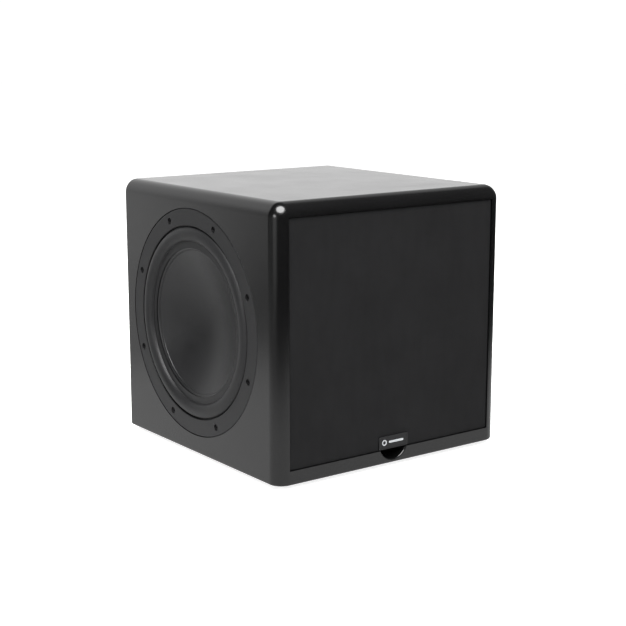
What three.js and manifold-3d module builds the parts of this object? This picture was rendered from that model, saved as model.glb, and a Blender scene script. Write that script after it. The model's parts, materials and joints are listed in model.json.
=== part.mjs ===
// A compact cube subwoofer: one woofer behind a cloth grille at the front, a passive radiator in each
// side, and a plate amplifier at the back. Millimetres, +Z up, the front faces -Y, and the origin is at
// the middle of the footprint, on the surface that the rubber feet stand on.
import * as THREE from "three";
import { mergeVertices } from "three/addons/utils/BufferGeometryUtils.js";
import Module from "manifold-3d";

const wasm = await Module();
wasm.setup();

// ---- Driving dimensions ----------------------------------------------------------------------------

// Cabinet
const CABINET_WIDTH = 320;
const CABINET_DEPTH = 317;
const CABINET_HEIGHT = 305;
const WALL = 16;
const EDGE_RADIUS = 16;
const BAFFLE_THICKNESS = 18;
const GRILLE_POCKET = 20;
const NOTCH_RADIUS = 21;
const NOTCH_FLOOR = 3.6;
const FOOT_HEIGHT = 5;
const FOOT_RADIUS = 14;
const FOOT_INSET = 44;

// Chassis of the woofer and of the two passive radiators
const FLANGE_RADIUS = 131;
const RING_WIDTH = 19.5;
const RING_THICKNESS = 3;
const FLANGE_THICKNESS = 2.5;
const ROLL_WIDTH = 16;
const ROLL_HEIGHT = 5.5;
const SURROUND_THICKNESS = 1.2;
const LANDING_WIDTH = 4;
const CONE_LIP = 8;
const CONE_THICKNESS = 1.6;
const RADIATOR_SETBACK = 9;
const RADIATOR_DISH = 26;
const RADIATOR_BASKET = 47;
const WEIGHT_RADIUS = 27;
const SPIDER_THICKNESS = 0.9;
const SPIDER_WAVE = 1.6;
const SPIDER_LEDGE = 7;
const LEDGE_RADIUS = 66;
const BASKET_WALL = 2.5;
const BASKET_WINDOWS = 6;
const WOOFER_LEDGE = 58;
const WOOFER_BASKET = 74;
const WOOFER_NECK = 44;
const COIL_RADIUS = 25.4;
const COIL_LENGTH = 44;
const MAGNET_RADIUS = 64;
const MAGNET_THICKNESS = 20;
const POLE_PLATE = 8;
const TERMINAL_THICKNESS = 7;

// Screws of the radiators
const SCREW_COUNT = 8;
const SCREW_INSET = 9.4;
const SCREW_HEAD = 2.9;
const SCREW_SHANK = 1.9;
const SCREW_LENGTH = 14;

// Grille
const GRILLE_GAP = 0.6;
const CLOTH_SETBACK = 1.5;
const CLOTH_THICKNESS = 0.9;
const GRILLE_BAR = 17;
const PEG_RADIUS = 4;
const PEG_LENGTH = 10;
const BADGE_WIDTH = 42;
const BADGE_HEIGHT = 15;
const BADGE_THICKNESS = 1.5;
const BADGE_RISE = 0.8;

// Amplifier
const PLATE_WIDTH = 170;
const PLATE_HEIGHT = 236;
const PLATE_THICKNESS = 3;
const PLATE_MARGIN = 9;
const COVER_DEPTH = 62;
const COVER_WALL = 1.5;
const KNOB_RADIUS = 9;
const KNOB_REACH = 14;
const SHAFT_RADIUS = 3;
const BUTTON_WIDTH = 5;
const SWITCH_TRAVEL = 4;
const ROCKER_WIDTH = 13;
const ROCKER_HEIGHT = 19.5;
const ROCKER_PIVOT = 4;
const INLET_WIDTH = 27.5;
const INLET_HEIGHT = 30;
const INLET_DEPTH = 27;
const DRAWER_WIDTH = 19;
const DRAWER_HEIGHT = 6;
const DRAWER_DEPTH = 20;
const JACK_RADIUS = 4.2;
const JACK_SEAT_RADIUS = 5.6;
const JACK_SPACING = 28;
const LIGHT_RADIUS = 2.5;
const SINK_WIDTH = 120;
const SINK_HEIGHT = 42;
const FIN_COUNT = 11;
const FIN_THICKNESS = 2.4;
const FIN_REACH = 12;
const BOARD_MARGIN = 7.5;
const BOARD_SETBACK = 34;
const TOROID_RADIUS = 31;
const TOROID_HEIGHT = 28;
const LEAD_RADIUS = 2.2;
const LEAD_STEPS = 26;

// Clearances
const FIT = 0.3;
const FLANGE_GAP = 0.6;
const EASE = 0.8;

// Facets round a chassis, a turned fitting and a screw
const ROUND = 28;
const TURNED = 16;
const TINY = 8;

// ---- Values worked out from them -------------------------------------------------------------------

const FRONT = -(CABINET_DEPTH + KNOB_REACH) / 2;
const REAR = FRONT + CABINET_DEPTH;
const SIDE = CABINET_WIDTH / 2;
const BOTTOM = FOOT_HEIGHT;
const TOP = BOTTOM + CABINET_HEIGHT;
const MIDDLE_Y = (FRONT + REAR) / 2;
const MIDDLE_Z = (BOTTOM + TOP) / 2;
const INNER_SIDE = SIDE - WALL;
const INNER_BOTTOM = BOTTOM + WALL;
const INNER_TOP = TOP - WALL;
const BAFFLE_FRONT = FRONT + GRILLE_POCKET;
const edge = Math.min(EDGE_RADIUS, WALL);

// The chassis profile, as radii and as heights over the face that the flange sits in.
const ringInner = FLANGE_RADIUS - RING_WIDTH;
const rollOuter = ringInner - 1.5;
const rollInner = rollOuter - ROLL_WIDTH;
const coneRadius = rollInner - 1.5;
const dishRadius = rollInner - CONE_LIP;
const landingTop = -RING_THICKNESS - FIT;
const landingMid = landingTop - SURROUND_THICKNESS / 2;
const landingBottom = landingTop - SURROUND_THICKNESS;
const ledgeTop = landingBottom - FIT;
const flangeTop = -RING_THICKNESS - FIT;
const flangeBottom = flangeTop - FLANGE_THICKNESS;
const rebateDepth = FIT - flangeBottom;
const rimRadius = rollOuter + LANDING_WIDTH + 3;
const cutoutRadius = rimRadius + 0.7;
const screwCircle = FLANGE_RADIUS - SCREW_INSET;
const shoulder = [rimRadius - 2, -rebateDepth - 16];
const ledgeOuter = LEDGE_RADIUS + SPIDER_LEDGE;

// ---- Geometry helpers ------------------------------------------------------------------------------

// A closed mesh with shared vertices, no face of zero area, and position as its only attribute.
function welded(geometry) {
  const bare = new THREE.BufferGeometry();
  bare.setAttribute("position", geometry.attributes.position.clone());
  if (geometry.index) bare.setIndex(geometry.index.clone());
  const merged = mergeVertices(bare, 1e-4);
  const corners = merged.index.array;
  const kept = [];
  for (let i = 0; i < corners.length; i += 3) {
    const [a, b, c] = corners.slice(i, i + 3);
    if (a !== b && b !== c && c !== a) kept.push(a, b, c);
  }
  merged.setIndex(kept);
  return merged;
}

function toSolid(geometry) {
  const merged = welded(geometry);
  return new wasm.Manifold(
    new wasm.Mesh({
      numProp: 3,
      vertProperties: merged.attributes.position.array,
      triVerts: new Uint32Array(merged.index.array),
    })
  );
}

function toGeometry(solid) {
  const mesh = solid.getMesh();
  const geometry = new THREE.BufferGeometry();
  geometry.setAttribute("position", new THREE.BufferAttribute(mesh.vertProperties, 3));
  geometry.setIndex(new THREE.BufferAttribute(mesh.triVerts, 1));
  const faceted = geometry.toNonIndexed();
  faceted.computeVertexNormals();
  return faceted;
}

// base with each of the tools cut away.
function cut(base, tools) {
  const result = tools.reduce((solid, tool) => solid.subtract(toSolid(tool)), toSolid(base));
  return toGeometry(result);
}

function joined(first, ...others) {
  const result = others.reduce((solid, other) => solid.add(toSolid(other)), toSolid(first));
  return toGeometry(result);
}

// A block between two corners, at exactly their coordinates.
function block([x0, y0, z0], [x1, y1, z1]) {
  const geometry = new THREE.BoxGeometry(1, 1, 1);
  const position = geometry.attributes.position;
  for (let i = 0; i < position.count; i += 1) {
    const x = position.getX(i) < 0 ? x0 : x1;
    const y = position.getY(i) < 0 ? y0 : y1;
    const z = position.getZ(i) < 0 ? z0 : z1;
    position.setXYZ(i, x, y, z);
  }
  return geometry;
}

// A block centred on x and z, and between two depths.
function slab(x, z, width, height, y0, y1) {
  return block([x - width / 2, y0, z - height / 2], [x + width / 2, y1, z + height / 2]);
}

// An outline of [x, y] points raised from z0 to z1.
function raised(points, z0, z1) {
  const shape = new THREE.Shape(points.map(([x, y]) => new THREE.Vector2(x, y)));
  const geometry = new THREE.ExtrudeGeometry(shape, { depth: 1, bevelEnabled: false });
  const position = geometry.attributes.position;
  for (let i = 0; i < position.count; i += 1) {
    position.setZ(i, position.getZ(i) < 0.5 ? z0 : z1);
  }
  return geometry;
}

// A body turned about +Z from a closed profile of [radius, height] points.
function turned(profile, segments = ROUND) {
  const points = profile.map(([radius, height]) => new THREE.Vector2(radius, height));
  if (THREE.ShapeUtils.area(points) < 0) points.reverse();
  points.push(points[0].clone());
  return welded(new THREE.LatheGeometry(points, segments).rotateX(Math.PI / 2));
}

function cylinder(radius, z0, z1, segments = TURNED) {
  return turned([[0, z0], [radius, z0], [radius, z1], [0, z1]], segments);
}

function washer(inner, outer, z0, z1, segments = ROUND) {
  return turned([[inner, z0], [outer, z0], [outer, z1], [inner, z1]], segments);
}

// A disc with its upper edge eased.
function puck(radius, z0, z1, segments = TURNED) {
  return turned([[0, z0], [radius, z0], [radius, z1 - EASE], [radius - EASE, z1], [0, z1]], segments);
}

// Turns a geometry that was made along +Z so that it faces along another axis, then moves it.
const TURNS = {
  left: [0, -Math.PI / 2],
  right: [0, Math.PI / 2],
  front: [Math.PI / 2, 0],
  rear: [-Math.PI / 2, 0],
};
function facing(side, geometry, [x, y, z]) {
  const [aboutX, aboutY] = TURNS[side];
  return geometry.clone().rotateX(aboutX).rotateY(aboutY).translate(x, y, z);
}

// Copies of a geometry spaced evenly round +Z, the first at half a step.
function ringOf(geometry, count) {
  const step = (2 * Math.PI) / count;
  return Array.from({ length: count }, (_, i) => geometry.clone().rotateZ((i + 0.5) * step));
}

// ---- Materials -------------------------------------------------------------------------------------

const finish = (color, roughness, metalness = 0) => ({ color, roughness, metalness });
const FINISHES = {
  lacquer: finish(0x1c1c1d, 0.38),
  board: finish(0x8a6f52, 0.9),
  rubber: finish(0x17171a, 0.75),
  moulded: finish(0x222224, 0.55),
  diaphragm: finish(0x2a2a2c, 0.5),
  pressed: finish(0x2c2d30, 0.45, 0.7),
  damper: finish(0xb08a3c, 0.9),
  ferrite: finish(0x3a3a3c, 0.85),
  plated: finish(0xa7a9ad, 0.35, 0.9),
  blackened: finish(0x141416, 0.4, 0.8),
  cloth: finish(0x101011, 0.95),
  anodised: finish(0x1a1b1d, 0.5, 0.6),
  laminate: finish(0x1f5a35, 0.6),
  copper: finish(0xb06a3a, 0.4, 0.8),
  gilt: finish(0xc9a24a, 0.3, 0.9),
  lens: finish(0x3b6fd1, 0.2),
};

const subwoofer = new THREE.Group();

function add(name, geometry, finishName, parent = subwoofer) {
  const mesh = new THREE.Mesh(geometry, new THREE.MeshStandardMaterial(FINISHES[finishName]));
  mesh.name = name;
  parent.add(mesh);
  return mesh;
}

// ---- Cabinet ---------------------------------------------------------------------------------------

const ARC_STEPS = 6;
const quarter = (step) => (step / ARC_STEPS) * (Math.PI / 2);

// The cabinet's outline seen from above, drawn in by inset at the front and sides, its front corners
// rounded and its rear corners square.
function planOutline(inset, radius) {
  const left = -SIDE + inset;
  const right = SIDE - inset;
  const front = FRONT + inset;
  const points = [];
  for (let step = 0; step <= ARC_STEPS; step += 1) {
    const angle = quarter(step);
    points.push([left + radius * (1 - Math.cos(angle)), front + radius * (1 - Math.sin(angle))]);
  }
  for (let step = ARC_STEPS; step >= 0; step -= 1) {
    const angle = quarter(step);
    points.push([right - radius * (1 - Math.cos(angle)), front + radius * (1 - Math.sin(angle))]);
  }
  points.push([right, REAR], [left, REAR]);
  return points;
}

// A body skinned over outlines of the same count at rising heights, and closed at both ends.
function skinned(rings) {
  const count = rings[0].points.length;
  const positions = rings.flatMap(({ points, z }) => points.flatMap(([x, y]) => [x, y, z]));
  const faces = [];
  for (let level = 0; level < rings.length - 1; level += 1) {
    for (let i = 0; i < count; i += 1) {
      const a = level * count + i;
      const b = level * count + ((i + 1) % count);
      faces.push(a, b, b + count, a, b + count, a + count);
    }
  }
  const last = (rings.length - 1) * count;
  for (let i = 1; i < count - 1; i += 1) {
    faces.push(0, i + 1, i, last, last + i, last + i + 1);
  }
  const geometry = new THREE.BufferGeometry();
  geometry.setAttribute("position", new THREE.Float32BufferAttribute(positions, 3));
  geometry.setIndex(faces);
  return geometry;
}

function topPanel() {
  const rings = [{ points: planOutline(0, edge), z: INNER_TOP }];
  for (let step = 0; step <= ARC_STEPS; step += 1) {
    const angle = quarter(step);
    const points = planOutline(edge * (1 - Math.cos(angle)), edge * Math.cos(angle));
    rings.push({ points, z: TOP - edge * (1 - Math.sin(angle)) });
  }
  return toGeometry(toSolid(skinned(rings)));
}

// The opening for a chassis in a panel: a hole for the basket and a rebate for the flange.
const chassisHole = cylinder(cutoutRadius, -WALL - BAFFLE_THICKNESS, 1, ROUND);
const chassisRebate = cylinder(FLANGE_RADIUS + FLANGE_GAP, -rebateDepth, 1, ROUND);
const RADIATOR_Y = MIDDLE_Y + RADIATOR_SETBACK;
const SCREW_HOLE = SCREW_SHANK + FIT;
const SCREW_SEAT = -RING_THICKNESS + 1;

const screwPilots = ringOf(
  cylinder(SCREW_HOLE, SCREW_SEAT - SCREW_LENGTH - FIT, 0, TINY).translate(screwCircle, 0, 0),
  SCREW_COUNT
);

function sidePanel(side) {
  const sign = side === "left" ? -1 : 1;
  const outline = [];
  for (let step = 0; step <= ARC_STEPS; step += 1) {
    const angle = quarter(step);
    const x = sign * (SIDE - edge * (1 - Math.cos(angle)));
    outline.push([x, FRONT + edge * (1 - Math.sin(angle))]);
  }
  outline.push([sign * INNER_SIDE, FRONT], [sign * INNER_SIDE, REAR], [sign * SIDE, REAR]);
  const tools = [chassisHole, chassisRebate, ...screwPilots];
  const place = [sign * SIDE, RADIATOR_Y, MIDDLE_Z];
  return cut(raised(outline, BOTTOM, INNER_TOP), tools.map((tool) => facing(side, tool, place)));
}

function bottomPanel() {
  const panel = block([-INNER_SIDE, FRONT, BOTTOM], [INNER_SIDE, REAR, INNER_BOTTOM]);
  const scoop = new THREE.SphereGeometry(NOTCH_RADIUS, TURNED + ARC_STEPS, TURNED);
  scoop.translate(0, FRONT, BOTTOM + NOTCH_FLOOR + NOTCH_RADIUS);
  return cut(panel, [scoop]);
}

const GRILLE_WIDTH = 2 * INNER_SIDE - 2 * GRILLE_GAP;
const GRILLE_HEIGHT = INNER_TOP - INNER_BOTTOM - 2 * GRILLE_GAP;
const PEG_X = GRILLE_WIDTH / 2 - GRILLE_BAR / 2;
const PEG_Z = GRILLE_HEIGHT / 2 - GRILLE_BAR / 2;
const CORNERS = [[-1, -1], [1, -1], [1, 1], [-1, 1]];
const WOOFER_PLACE = [0, BAFFLE_FRONT, MIDDLE_Z];

function frontBaffle() {
  const back = BAFFLE_FRONT + BAFFLE_THICKNESS;
  const panel = block([-INNER_SIDE, BAFFLE_FRONT, INNER_BOTTOM], [INNER_SIDE, back, INNER_TOP]);
  const pegHole = cylinder(PEG_RADIUS + FIT, -PEG_LENGTH - 1, 1, TINY);
  const pegHoles = CORNERS.map(([i, k]) =>
    facing("front", pegHole, [i * PEG_X, BAFFLE_FRONT, MIDDLE_Z + k * PEG_Z])
  );
  const opening = [chassisHole, chassisRebate].map((tool) => facing("front", tool, WOOFER_PLACE));
  return cut(panel, [...opening, ...pegHoles]);
}

const PLATE_BACK = REAR - PLATE_THICKNESS;

function rearPanel() {
  const panel = block([-INNER_SIDE, REAR - WALL, INNER_BOTTOM], [INNER_SIDE, REAR, INNER_TOP]);
  const gap = 2 * FLANGE_GAP;
  const rebateFloor = PLATE_BACK - FIT;
  const rebate = slab(0, MIDDLE_Z, PLATE_WIDTH + gap, PLATE_HEIGHT + gap, rebateFloor, REAR + 1);
  const holeWidth = PLATE_WIDTH - 2 * PLATE_MARGIN;
  const holeHeight = PLATE_HEIGHT - 2 * PLATE_MARGIN;
  const hole = slab(0, MIDDLE_Z, holeWidth, holeHeight, REAR - WALL - 1, REAR);
  return cut(panel, [rebate, hole]);
}

// A tapered rubber foot with a recess for its screw's head.
function foot() {
  const recess = FOOT_HEIGHT / 3;
  return turned(
    [
      [0, recess],
      [4.5, recess],
      [4.5, 0],
      [FOOT_RADIUS - 3, 0],
      [FOOT_RADIUS - 1.5, EASE],
      [FOOT_RADIUS, FOOT_HEIGHT],
      [0, FOOT_HEIGHT],
    ],
    TURNED
  );
}

function buildCabinet() {
  add("top_panel", topPanel(), "lacquer");
  add("left_panel", sidePanel("left"), "lacquer");
  add("right_panel", sidePanel("right"), "lacquer");
  add("bottom_panel", bottomPanel(), "lacquer");
  add("front_baffle", frontBaffle(), "board");
  add("rear_panel", rearPanel(), "lacquer");
  const names = ["front_left", "front_right", "rear_right", "rear_left"];
  names.forEach((name, i) => {
    const [side, end] = CORNERS[i];
    const x = side * (SIDE - FOOT_INSET);
    const y = MIDDLE_Y + end * (CABINET_DEPTH / 2 - FOOT_INSET);
    add("foot_" + name, foot().translate(x, y, 0), "rubber");
  });
}

// ---- Chassis: what the woofer and the radiators share -----------------------------------------------

// A flange with a ledge for the surround, a wall with windows, and a ledge for the spider at depth.
// Below that ledge the wall runs on to tail, a list of profile points that ends on its outer side.
function basket(depth, tail, holes = []) {
  const wallTop = shoulder[1] + 2;
  const profile = [
    [FLANGE_RADIUS - FLANGE_GAP, flangeTop],
    [rimRadius - 1.5, flangeTop],
    [rimRadius - 1.5, ledgeTop],
    [rollOuter - 0.5, ledgeTop],
    [rollOuter - 0.5, ledgeTop - 2.2],
    [rollOuter + 2.5, ledgeTop - 2.2],
    [rollOuter + 1.8, wallTop],
    [ledgeOuter, -depth],
    ...tail,
    shoulder,
    [rimRadius, flangeBottom],
    [FLANGE_RADIUS - FLANGE_GAP, flangeBottom],
  ];
  const far = rimRadius + 6;
  const outline = [[LEDGE_RADIUS, -24], [far, -40], [far, 40], [LEDGE_RADIUS, 24]];
  const window = raised(outline, -depth + 5, shoulder[1] - 1);
  return cut(turned(profile), [...ringOf(window, BASKET_WINDOWS), ...holes]);
}

// The flexible half roll between the cone's lip and the flange's ledge.
function surround(landing) {
  const steps = 5;
  const half = SURROUND_THICKNESS / 2;
  const centre = (rollOuter + rollInner) / 2;
  const wave = (offset) =>
    Array.from({ length: steps + 1 }, (_, i) => {
      const angle = (i / steps) * Math.PI;
      const radius = centre + (ROLL_WIDTH / 2 + offset) * Math.cos(angle);
      return [radius, landingMid + offset * (i % steps ? 1 : 0) + ROLL_HEIGHT * Math.sin(angle)];
    });
  const over = wave(half);
  const under = wave(-half).reverse();
  over[0][1] = landingTop;
  over[steps][1] = landingTop;
  under[0][1] = landingBottom;
  under[steps][1] = landingBottom;
  return turned([
    [rollOuter + landing, landingTop],
    ...over,
    [dishRadius, landingTop],
    [dishRadius, landingBottom],
    ...under,
    [rollOuter + landing, landingBottom],
  ]);
}

// A corrugated spring disc from inner to outer, lying at the height of its outer edge.
function spider(inner, outer, height) {
  const waves = 4;
  const line = (lift) =>
    Array.from({ length: waves + 1 }, (_, i) => {
      const radius = inner + 2 + ((outer - SPIDER_LEDGE - inner - 2) * i) / waves;
      const swing = i % 2 ? SPIDER_WAVE : 0;
      return [radius, height + lift + swing];
    });
  return turned([
    [inner, height],
    ...line(0),
    [outer, height],
    [outer, height + SPIDER_THICKNESS],
    ...line(SPIDER_THICKNESS).reverse(),
    [inner, height + SPIDER_THICKNESS],
  ]);
}

// ---- Passive radiators -----------------------------------------------------------------------------

// The height of the dished face at a radius.
const coneTop = landingBottom - FIT;
const dishAt = (radius) => coneTop - RADIATOR_DISH * (1 - (radius / dishRadius) ** 2);

function radiatorCone() {
  const radii = [0, 0.25, 0.5, 0.75, 1].map((share) => share * (dishRadius - 0.6));
  const face = radii.map((radius) => [radius, dishAt(radius)]);
  const back = face.map(([radius, height]) => [radius, height - CONE_THICKNESS]).reverse();
  return turned([...face, [coneRadius, coneTop], [coneRadius, coneTop - CONE_THICKNESS], ...back]);
}

function radiatorWeight() {
  const top = dishAt(WEIGHT_RADIUS * 0.45) - CONE_THICKNESS - FIT;
  const spiderSeat = -RADIATOR_BASKET + FIT;
  return turned([
    [0, dishAt(0) - CONE_THICKNESS - FIT],
    [WEIGHT_RADIUS * 0.45, top],
    [WEIGHT_RADIUS, top],
    [WEIGHT_RADIUS, spiderSeat - 3],
    [0, spiderSeat - 3],
  ]);
}

// The visible ring over the flange, with a countersunk hole at each screw.
function trimRing() {
  const ring = turned([
    [ringInner + EASE, 0],
    [FLANGE_RADIUS - EASE, 0],
    [FLANGE_RADIUS, -EASE],
    [FLANGE_RADIUS, -RING_THICKNESS],
    [ringInner, -RING_THICKNESS],
    [ringInner, -EASE],
  ]);
  const recess = cylinder(SCREW_HEAD + FIT + FIT, SCREW_SEAT, 1, TINY + 2).translate(screwCircle, 0, 0);
  return cut(ring, [...ringOf(recess, SCREW_COUNT), ...screwPilots]);
}

// A cap screw with its head's underside on the ring's seat.
function capScrew() {
  const shank = [
    [0, SCREW_SEAT - SCREW_LENGTH],
    [SCREW_SHANK, SCREW_SEAT - SCREW_LENGTH + 2],
    [SCREW_SHANK, SCREW_SEAT],
  ];
  const head = [
    [SCREW_HEAD, SCREW_SEAT],
    [SCREW_HEAD, -EASE],
    [1.4, -EASE],
    [1.4, -EASE - 1],
    [0, -EASE - 1],
  ];
  return turned([...shank, ...head], TINY);
}

function buildRadiator(side) {
  const place = [side === "left" ? -SIDE : SIDE, RADIATOR_Y, MIDDLE_Z];
  const name = (piece) => side + "_radiator_" + piece;
  const put = (piece, geometry, finishName) => add(name(piece), facing(side, geometry, place), finishName);
  const tail = [
    [LEDGE_RADIUS, -RADIATOR_BASKET],
    [LEDGE_RADIUS, -RADIATOR_BASKET - BASKET_WALL],
    [ledgeOuter + BASKET_WALL, -RADIATOR_BASKET - BASKET_WALL],
  ];
  put("ring", trimRing(), "moulded");
  put("frame", basket(RADIATOR_BASKET, tail, screwPilots), "pressed");
  put("surround", surround(LANDING_WIDTH), "rubber");
  put("cone", radiatorCone(), "diaphragm");
  put("weight", radiatorWeight(), "plated");
  const spiderInner = WEIGHT_RADIUS + FIT;
  put("spider", spider(spiderInner, ledgeOuter - 1, -RADIATOR_BASKET + FIT), "damper");
}

function buildLeftRadiatorScrews() {
  const place = [-SIDE, RADIATOR_Y, MIDDLE_Z];
  const screw = capScrew().translate(screwCircle, 0, 0);
  ringOf(screw, SCREW_COUNT).forEach((copy, i) => {
    add("left_radiator_screw_" + (i + 1), facing("left", copy, place), "blackened");
  });
}

// ---- Woofer ----------------------------------------------------------------------------------------

const NECK_RADIUS = COIL_RADIUS + 1.1;

// The height of the cone's front face at a radius, a shallow curve from the neck to the lip.
function wooferFace(radius) {
  const share = (radius - NECK_RADIUS) / (dishRadius - NECK_RADIUS);
  return coneTop - WOOFER_NECK * (1 - share) ** 1.15;
}

function wooferCone() {
  const radii = [0, 0.3, 0.65, 1].map((share) => NECK_RADIUS + share * (dishRadius - 0.6 - NECK_RADIUS));
  const face = radii.map((radius) => [radius, wooferFace(radius)]);
  const back = face.map(([radius, height]) => [radius, height - CONE_THICKNESS]).reverse();
  return turned([...face, [coneRadius, coneTop], [coneRadius, coneTop - CONE_THICKNESS], ...back]);
}

function dustCap() {
  const radius = NECK_RADIUS + 10;
  const base = wooferFace(radius) + FIT;
  const rise = 9;
  const dome = (lift) =>
    [0, 0.35, 0.7, 1].map((share) => [share * radius, base + lift + rise * (1 - share * share)]);
  return turned([...dome(1.2), ...dome(0).reverse()]);
}

const coilTop = wooferFace(NECK_RADIUS) + 2;
const coilBottom = coilTop - COIL_LENGTH;
const magnetTop = -WOOFER_BASKET - BASKET_WALL - FIT;
const magnetMid = magnetTop - POLE_PLATE - FIT;
const magnetEnd = magnetMid - MAGNET_THICKNESS - FIT;
const GAP_INNER = COIL_RADIUS - 1.6;
const GAP_OUTER = COIL_RADIUS + 2.2;

function backPlate() {
  const end = magnetEnd - POLE_PLATE;
  return turned([
    [0, end],
    [MAGNET_RADIUS - 6, end],
    [MAGNET_RADIUS - 3, end + 3],
    [MAGNET_RADIUS - 3, magnetEnd],
    [GAP_INNER, magnetEnd],
    [GAP_INNER, magnetTop],
    [0, magnetTop],
  ]);
}

// The connector for the speaker lead, a block on the sloping outer face of one of the basket's spokes.
const TERMINAL_ANGLE = (4 * Math.PI) / 3;
const TERMINAL_DEPTH = 40;
const slopeStart = new THREE.Vector2(...shoulder);
const slopeEnd = new THREE.Vector2(ledgeOuter + BASKET_WALL, -WOOFER_LEDGE - BASKET_WALL);
const slope = slopeEnd.clone().sub(slopeStart).normalize();
const slopeNormal = new THREE.Vector2(-slope.y, slope.x);
const slopeAt = (depth) => slopeStart.clone().addScaledVector(slope, (slopeStart.y + depth) / -slope.y);

function terminal() {
  const middle = slopeAt(TERMINAL_DEPTH).addScaledVector(slopeNormal, FIT);
  const corners = [[-9, 0], [9, 0], [9, 3], [6, TERMINAL_THICKNESS], [-6, TERMINAL_THICKNESS], [-9, 3]];
  const outline = corners.map(([along, out]) =>
    middle.clone().addScaledVector(slope, along).addScaledVector(slopeNormal, out).toArray()
  );
  return raised(outline, -7, 7).rotateX(Math.PI / 2).rotateZ(TERMINAL_ANGLE);
}

function buildWoofer() {
  const put = (piece, geometry, finishName) =>
    add("woofer_" + piece, facing("front", geometry, WOOFER_PLACE), finishName);
  const tail = [
    [LEDGE_RADIUS, -WOOFER_LEDGE],
    [LEDGE_RADIUS - 4, -WOOFER_BASKET],
    [GAP_OUTER + 6, -WOOFER_BASKET],
    [GAP_OUTER + 6, -WOOFER_BASKET - BASKET_WALL],
    [LEDGE_RADIUS - 1, -WOOFER_BASKET - BASKET_WALL],
    [ledgeOuter + BASKET_WALL, -WOOFER_LEDGE - BASKET_WALL],
  ];
  put("basket", basket(WOOFER_LEDGE, tail), "pressed");
  put("surround", surround(LANDING_WIDTH), "rubber");
  put("cone", wooferCone(), "diaphragm");
  put("dust_cap", dustCap(), "diaphragm");
  put("voice_coil", washer(COIL_RADIUS, COIL_RADIUS + 0.8, coilBottom, coilTop), "copper");
  put("spider", spider(NECK_RADIUS, ledgeOuter - 1, -WOOFER_LEDGE + FIT), "damper");
  put("top_plate", washer(GAP_OUTER, MAGNET_RADIUS - 3, magnetTop - POLE_PLATE, magnetTop), "plated");
  put("magnet", washer(GAP_OUTER + 4, MAGNET_RADIUS, magnetMid - MAGNET_THICKNESS, magnetMid), "ferrite");
  put("back_plate", backPlate(), "plated");
  put("terminal", terminal(), "moulded");
}

// ---- Grille ----------------------------------------------------------------------------------------

const CLOTH_FRONT = FRONT + CLOTH_SETBACK;
const FRAME_FRONT = CLOTH_FRONT + CLOTH_THICKNESS + FIT;
const FRAME_BACK = BAFFLE_FRONT - 1.2;
const FRAME_WIDTH = GRILLE_WIDTH - 2 * (CLOTH_THICKNESS + FIT);
const FRAME_HEIGHT = GRILLE_HEIGHT - 2 * (CLOTH_THICKNESS + FIT);

function grilleFrame() {
  const frame = slab(0, MIDDLE_Z, FRAME_WIDTH, FRAME_HEIGHT, FRAME_FRONT, FRAME_BACK);
  const width = GRILLE_WIDTH - 2 * GRILLE_BAR;
  const height = GRILLE_HEIGHT - 2 * GRILLE_BAR;
  const opening = slab(0, MIDDLE_Z, width, height, FRAME_FRONT - 1, FRAME_BACK + 1);
  const pegProfile = [[0, -1], [PEG_RADIUS, -1], [PEG_RADIUS, PEG_LENGTH - 2]];
  const peg = turned([...pegProfile, [PEG_RADIUS - 1, PEG_LENGTH], [0, PEG_LENGTH]], TINY);
  const pegs = CORNERS.map(([i, k]) => facing("rear", peg, [i * PEG_X, FRAME_BACK, MIDDLE_Z + k * PEG_Z]));
  return joined(cut(frame, [opening]), ...pegs);
}

// The cloth is drawn over the frame's face and down its sides, as one tray.
function grilleCloth() {
  const tray = slab(0, MIDDLE_Z, GRILLE_WIDTH, GRILLE_HEIGHT, CLOTH_FRONT, FRAME_BACK);
  const width = GRILLE_WIDTH - 2 * CLOTH_THICKNESS;
  const height = GRILLE_HEIGHT - 2 * CLOTH_THICKNESS;
  const hollow = slab(0, MIDDLE_Z, width, height, CLOTH_FRONT + CLOTH_THICKNESS, FRAME_BACK + 1);
  return cut(tray, [hollow]);
}

function buildGrille() {
  add("grille_frame", grilleFrame(), "moulded");
  add("grille_cloth", grilleCloth(), "cloth");
  const badgeZ = INNER_BOTTOM + GRILLE_GAP + BADGE_RISE + BADGE_HEIGHT / 2;
  const badge = slab(0, badgeZ, BADGE_WIDTH, BADGE_HEIGHT, CLOTH_FRONT - BADGE_THICKNESS, CLOTH_FRONT);
  add("badge", badge, "moulded");
}

// ---- Amplifier -------------------------------------------------------------------------------------

// Places of the controls on the plate, as [x, z].
const COLUMN_X = PLATE_WIDTH / 2 - 33;
const KNOB_Z = MIDDLE_Z + PLATE_HEIGHT / 2 - 26;
const SWITCH_Z = KNOB_Z - 37;
const JACK_Z = SWITCH_Z - 33;
const MAINS_Z = MIDDLE_Z - PLATE_HEIGHT / 2 + 34;
const FIN_Z = (JACK_Z + MAINS_Z) / 2 + 6;
const VOLUME_AT = [-COLUMN_X, KNOB_Z];
const CROSSOVER_AT = [COLUMN_X, KNOB_Z];
const LIGHT_AT = [0, KNOB_Z];
const PHASE_AT = [-COLUMN_X, SWITCH_Z];
const MODE_AT = [COLUMN_X, SWITCH_Z];
const JACKS_AT = [[-JACK_SPACING / 2, JACK_Z], [JACK_SPACING / 2, JACK_Z]];
const ROCKER_AT = [-COLUMN_X, MAINS_Z];
const INLET_AT = [COLUMN_X - 14, MAINS_Z];

const atPlate = (geometry, [x, z]) => facing("rear", geometry, [x, REAR, z]);
const plateSlot = ([x, z], width, height) =>
  slab(x, z, width + 2 * FIT, height + 2 * FIT, PLATE_BACK - 1, REAR + 1);

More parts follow.
